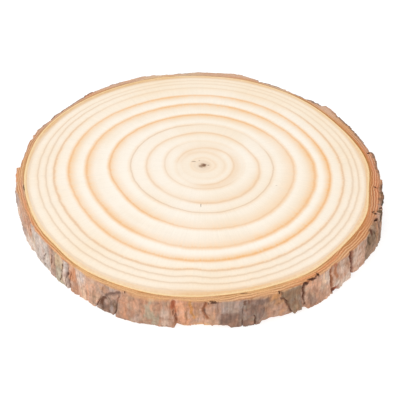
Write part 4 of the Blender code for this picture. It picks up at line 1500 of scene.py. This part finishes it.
    def face_colour(self, number: int, at: FacePoint) -> Colour:
        """Colour that a plate's face has at a point.

        Args:
            number: The plate's number.
            at: The point.

        Returns:
            The plate's two tones, tinted in patches, and fresher where a scale has come off.
        """
        plate = PLATES[number]
        split = 0.5 + 0.35 * noise.noise(at.place / 6.0)
        share = smooth_step((at.place.z / THICKNESS - split) / 0.3 + 0.5)
        colour = blend_colours(plate.lower.value, plate.upper.value, share)
        patch = upright_noise(at.place, 4.0, 6.0, (9.0, 2.0, 5.0))
        small = upright_noise(at.place, 1.6, 3.0, (4.0, 8.0, 1.0))
        hue = noise.noise(at.place / 3.4 + Vector((1.0, 6.0, 3.0)))
        tints = (
            (Tone.ASH, 0.5, patch), (Tone.SALMON, 0.45, -patch - 0.05), (Tone.SAGE, 0.6, hue - 0.1),
            (Tone.MAUVE, 0.6, -hue - 0.1), (Tone.COCOA, 0.7, small - 0.12), (Tone.RUST, 0.3, -small - 0.2),
            (Tone.RUST, 0.22, at.near_edge),
        )
        for tone, strength, amount in tints:
            colour = blend_colours(colour, tone.value, strength * max(0.0, amount))
        light = 1 + 0.24 * at.streak + 0.2 * small
        return tuple(part * light for part in colour[:3])

    def sawn_colour(self, angle: float, layer: float) -> Colour:
        """Colour of the bark's sawn edge, at an angle and a distance from the wood."""
        angle %= FULL_TURN
        number = max(i for i, tone in enumerate(SAWN_TONES) if tone.angle <= angle)
        before, after = SAWN_TONES[number], SAWN_TONES[(number + 1) % len(SAWN_TONES)]
        share = smooth_step((angle - before.angle) / ((after.angle - before.angle) % FULL_TURN))
        inner = blend_colours(before.inner.value, after.inner.value, share)
        outer = blend_colours(before.outer.value, after.outer.value, share)
        return blend_colours(inner, outer, smooth_step((layer - self.inner_layer) / self.layer_blend))

    def rim_chip(self, angle: float) -> float:
        """How far the upper outer edge is broken down at an angle."""
        place = round_pith(angle, 1.0) * self.rim_radius
        chip = self.rim_break
        for depth, size in self.rim_chips:
            chip += depth * max(0.0, noise.noise(place / size))
        return chip

    def worn_rim(self, angle: float) -> float:
        """How much the weathered outside laps over the upper sawn edge at an angle, from 0 to 1."""
        return highest_bump(WORN_RIMS, angle, 2.0)

    def pit_depth(self, angle: float, radius: float) -> float:
        """How deep the pits are at a point of the sawn edge."""
        depth = 0.0
        for pit in PITS:
            along = math.radians(turn_between(angle, pit.angle)) * radius
            if abs(along) > pit.half_length + 2:
                continue
            out = radius - pit.radius
            turned = math.radians(pit.turn)
            first = (along * math.cos(turned) + out * math.sin(turned)) / pit.half_length
            second = (-along * math.sin(turned) + out * math.cos(turned)) / pit.half_width
            depth = max(depth, pit.depth * smooth_step(1.6 * (1 - math.hypot(first, second))))
        return depth

    def sawn_spot(self, outer: BarkSpot, share: float, upper: bool) -> BarkSpot:
        """Finds a point on one of the two sawn edges of the bark.

        Args:
            outer: The point of the outside at which the sawn edge ends.
            share: Share of the way out from the wood to the outside.
            upper: Whether the point is on the upper face.

        Returns:
            The point with its colour.
        """
        wood = self.form.wood_radius(outer.angle)
        radius = wood - self.tucked_in + (outer.radius - wood + self.tucked_in) * share
        place = round_pith(outer.angle, radius)
        worn = self.worn_depth * (noise.noise(place / 1.5) + 0.5) * smooth_step(share / 0.4)
        level = self.below_wood + worn
        edge_drop = THICKNESS - outer.height if upper else outer.height
        level += (edge_drop - level) * smooth_step((share - self.turns_down[0]) / self.turns_down[1]) ** 2
        pit = self.pit_depth(outer.angle, radius) if upper else 0.0
        level += pit
        height = THICKNESS - level if upper else level
        # Painted shade in the pits.
        crevice_shade = min(1.0, pit) * self.pit_shade_darkness
        worn_rim = self.worn_rim(outer.angle) if upper else 0.0
        lap = self.widest_lap * worn_rim * (1 + noise.noise(place / 2.0))
        past = (share - self.weathered[0] + lap) / self.weathered[1]
        cut = 1 - (self.weathered_look[0] + self.weathered_look[1] * worn_rim) * smooth_step(past)
        sawn = self.sawn_colour(outer.angle, radius - wood)
        return BarkSpot(outer.angle, radius, height, crevice_shade, cut, radius - wood, outer.colour, sawn)

    def column_spots(self, number: int, across: float) -> list[BarkSpot]:
        """Finds the points of one column, row by row round the section."""
        lowest = self.side_spot(number, across, 0.0)
        highest = self.side_spot(number, across, 1.0)
        reach = self.fresh_reach + 1.2 * self.rim_chip(highest.angle)
        reach += highest_bump(FRESH_EDGES, highest.angle, 1.5)
        fresh = 1 - self.worn_rim(highest.angle)
        spots = []
        for kind, share in self.rows:
            if kind == "side":
                spot = self.side_spot(number, across, share)
                near_rim = smooth_step(1.3 * (1 - (THICKNESS - spot.height) / reach))
                spot.cut = self.fresh_look * near_rim * fresh
            elif kind == "top":
                spot = self.sawn_spot(highest, share, True)
            else:
                spot = self.sawn_spot(lowest, share, False)
            spots.append(spot)
        return spots

    def build(self) -> bmesh.types.BMesh:
        """Shapes the ring and colours its points.

        Returns:
            The ring in metres, with its attributes and its own UV map.
        """
        mesh, grid = rolled_grid(len(self.places), len(self.rows))
        colour_layer = mesh.verts.layers.float_color.new("bark_colour")
        shade_cut_depth_layer = mesh.verts.layers.float_color.new("bark_shade_cut_depth")
        sawn_layer = mesh.verts.layers.float_color.new("bark_sawn")
        columns = [self.column_spots(number, across) for number, across in self.places]
        for vertex, (column, row) in zip(mesh.verts, grid):
            spot = columns[column % len(columns)][row % len(self.rows)]
            vertex.co = self.centre + round_pith(spot.angle, spot.radius, spot.height) * MM
            vertex[colour_layer] = (*spot.colour[:3], 1.0)
            vertex[sawn_layer] = (*spot.sawn[:3], 1.0)
            vertex[shade_cut_depth_layer] = (spot.crevice_shade, spot.cut, spot.layer / CARRIED_MM, 1.0)
        self.unwrap(mesh, grid)
        close_seams(mesh)
        return mesh

    def unwrap(self, mesh: bmesh.types.BMesh, grid: list[tuple[int, int]]) -> None:
        """Lays the ring on the map as a few straight strips, one above the other.

        Args:
            mesh: The shaped ring, before its seams are closed.
            grid: Column and row of every point.
        """
        layer = mesh.loops.layers.uv.new("OFBake")
        rim_width = 7.0
        sizes = {
            "under": rim_width / self.underside_rows,
            "side": THICKNESS / self.side_rows,
            "top": rim_width / self.top_rows,
        }
        drops = [0.0]
        for kind, _ in self.rows:
            drops.append(drops[-1] + sizes[kind])
        per_strip = len(self.places) / self.strips
        for face in mesh.faces:
            spots = [grid[loop.vert.index] for loop in face.loops]
            strip = int(min(column for column, _ in spots) // per_strip)
            for loop, (column, row) in zip(face.loops, spots):
                along = (column - strip * per_strip) / per_strip
                down = strip + 0.03 + 0.94 * drops[row] / drops[-1]
                loop[layer].uv = (0.01 + 0.97 * along, down / self.strips)

    def dress(self, fibre: bpy.types.NodeTree) -> bpy.types.Object:
        """Builds the ring and gives it its finish."""
        material = BarkDesk(BarkFinish(), self.centre).finished(fibre)
        return finish_piece(self.build(), "bark", material, self.sharp)


@dataclass
class Studio:
    """A pale floor, soft light from above and the camera at the photo's viewing angle."""

    centre: Vector  # the pith's place in the shared frame, in metres
    camera_from_pith: tuple[float, float, float] = (-2.0, -376.2, 290.0)  # from where it meets the upper face
    camera_pitch: float = 40.45  # how far down it looks, in degrees
    lens: float = 63.0
    floor_half: float = 3.0
    floor_white: float = 0.4
    floor_glow: float = 0.7
    sky: float = 0.7
    key_energy: float = 41.5
    key_size: float = 3.0
    key_place: tuple[float, float, float] = (-0.9, -0.9, 2.6)

    def floor(self) -> None:
        """Lays the pale floor under the slice."""
        mesh = bmesh.new()
        bmesh.ops.create_grid(mesh, x_segments=1, y_segments=1, size=self.floor_half)
        data = bpy.data.meshes.new("floor")
        mesh.to_mesh(data)
        mesh.free()
        material = new_material("pale_floor")
        shader = material.node_tree.nodes["Principled BSDF"]
        shader.inputs["Base Color"].default_value = (*[self.floor_white] * 3, 1.0)
        shader.inputs["Roughness"].default_value = 0.9
        shader.inputs["Emission Color"].default_value = (1.0, 1.0, 1.0, 1.0)
        shader.inputs["Emission Strength"].default_value = self.floor_glow
        data.materials.append(material)
        floor = bpy.data.objects.new("floor", data)
        bpy.context.scene.collection.objects.link(floor)

    def lights(self) -> None:
        """Adds the soft key light and the even light all round."""
        data = bpy.data.lights.new("key", "AREA")
        data.energy = self.key_energy
        data.size = self.key_size
        key = bpy.data.objects.new("key", data)
        key.location = self.key_place
        key.rotation_euler = (-Vector(self.key_place)).to_track_quat("-Z", "Y").to_euler()
        bpy.context.scene.collection.objects.link(key)
        world = bpy.data.worlds.new("studio")
        world.use_nodes = True
        background = world.node_tree.nodes["Background"]
        background.inputs["Color"].default_value = (1.0, 1.0, 1.0, 1.0)
        background.inputs["Strength"].default_value = self.sky
        bpy.context.scene.world = world
        bpy.context.scene.view_settings.view_transform = "Standard"

    def camera(self) -> None:
        """Sets the camera where the photo was taken from."""
        data = bpy.data.cameras.new("camera")
        data.lens = self.lens
        data.clip_start = 0.01
        camera = bpy.data.objects.new("camera", data)
        top = Vector((self.centre.x, self.centre.y, THICKNESS * MM))
        camera.location = top + Vector(self.camera_from_pith) * MM
        camera.rotation_euler = (math.radians(90 - self.camera_pitch), 0.0, 0.0)
        bpy.context.scene.collection.objects.link(camera)
        bpy.context.scene.camera = camera


def pith_place(form: SliceForm) -> Vector:
    """Finds the pith, in metres, from the box of the solid, which is centred on the frame's origin."""
    lowest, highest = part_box("wood_slice")
    columns, rows = 6, 8
    heights = [THICKNESS * i / rows for i in range(rows + 1)]
    xs, ys = [], []
    for number in range(len(PLATES)):
        for i in range(columns):
            across = i / columns
            for height in heights:
                angle = form.angle_across(number, across, height)
                radius = form.plate_face(number, across, height, angle)
                xs.append(radius * math.cos(math.radians(angle)))
                ys.append(radius * math.sin(math.radians(angle)))
    middle_x = (lowest[0] + highest[0]) / 2 - (min(xs) + max(xs)) / 2 * MM
    middle_y = (lowest[1] + highest[1]) / 2 - (min(ys) + max(ys)) / 2 * MM
    return Vector((middle_x, middle_y, lowest[2]))


def main() -> None:
    """Builds the slice and its studio."""
    logging.basicConfig(level=logging.INFO, format="%(name)s: %(message)s")
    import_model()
    form = SliceForm()
    centre = pith_place(form)
    log.info("pith at %.2f, %.2f mm", centre.x / MM, centre.y / MM)
    studio = Studio(centre)
    studio.camera()
    studio.floor()
    studio.lights()
    fibre = fibre_group()
    WoodDisc(form, centre).dress(fibre)
    BarkRing(form, centre).dress(fibre)


if __name__ == "__main__":
    main()
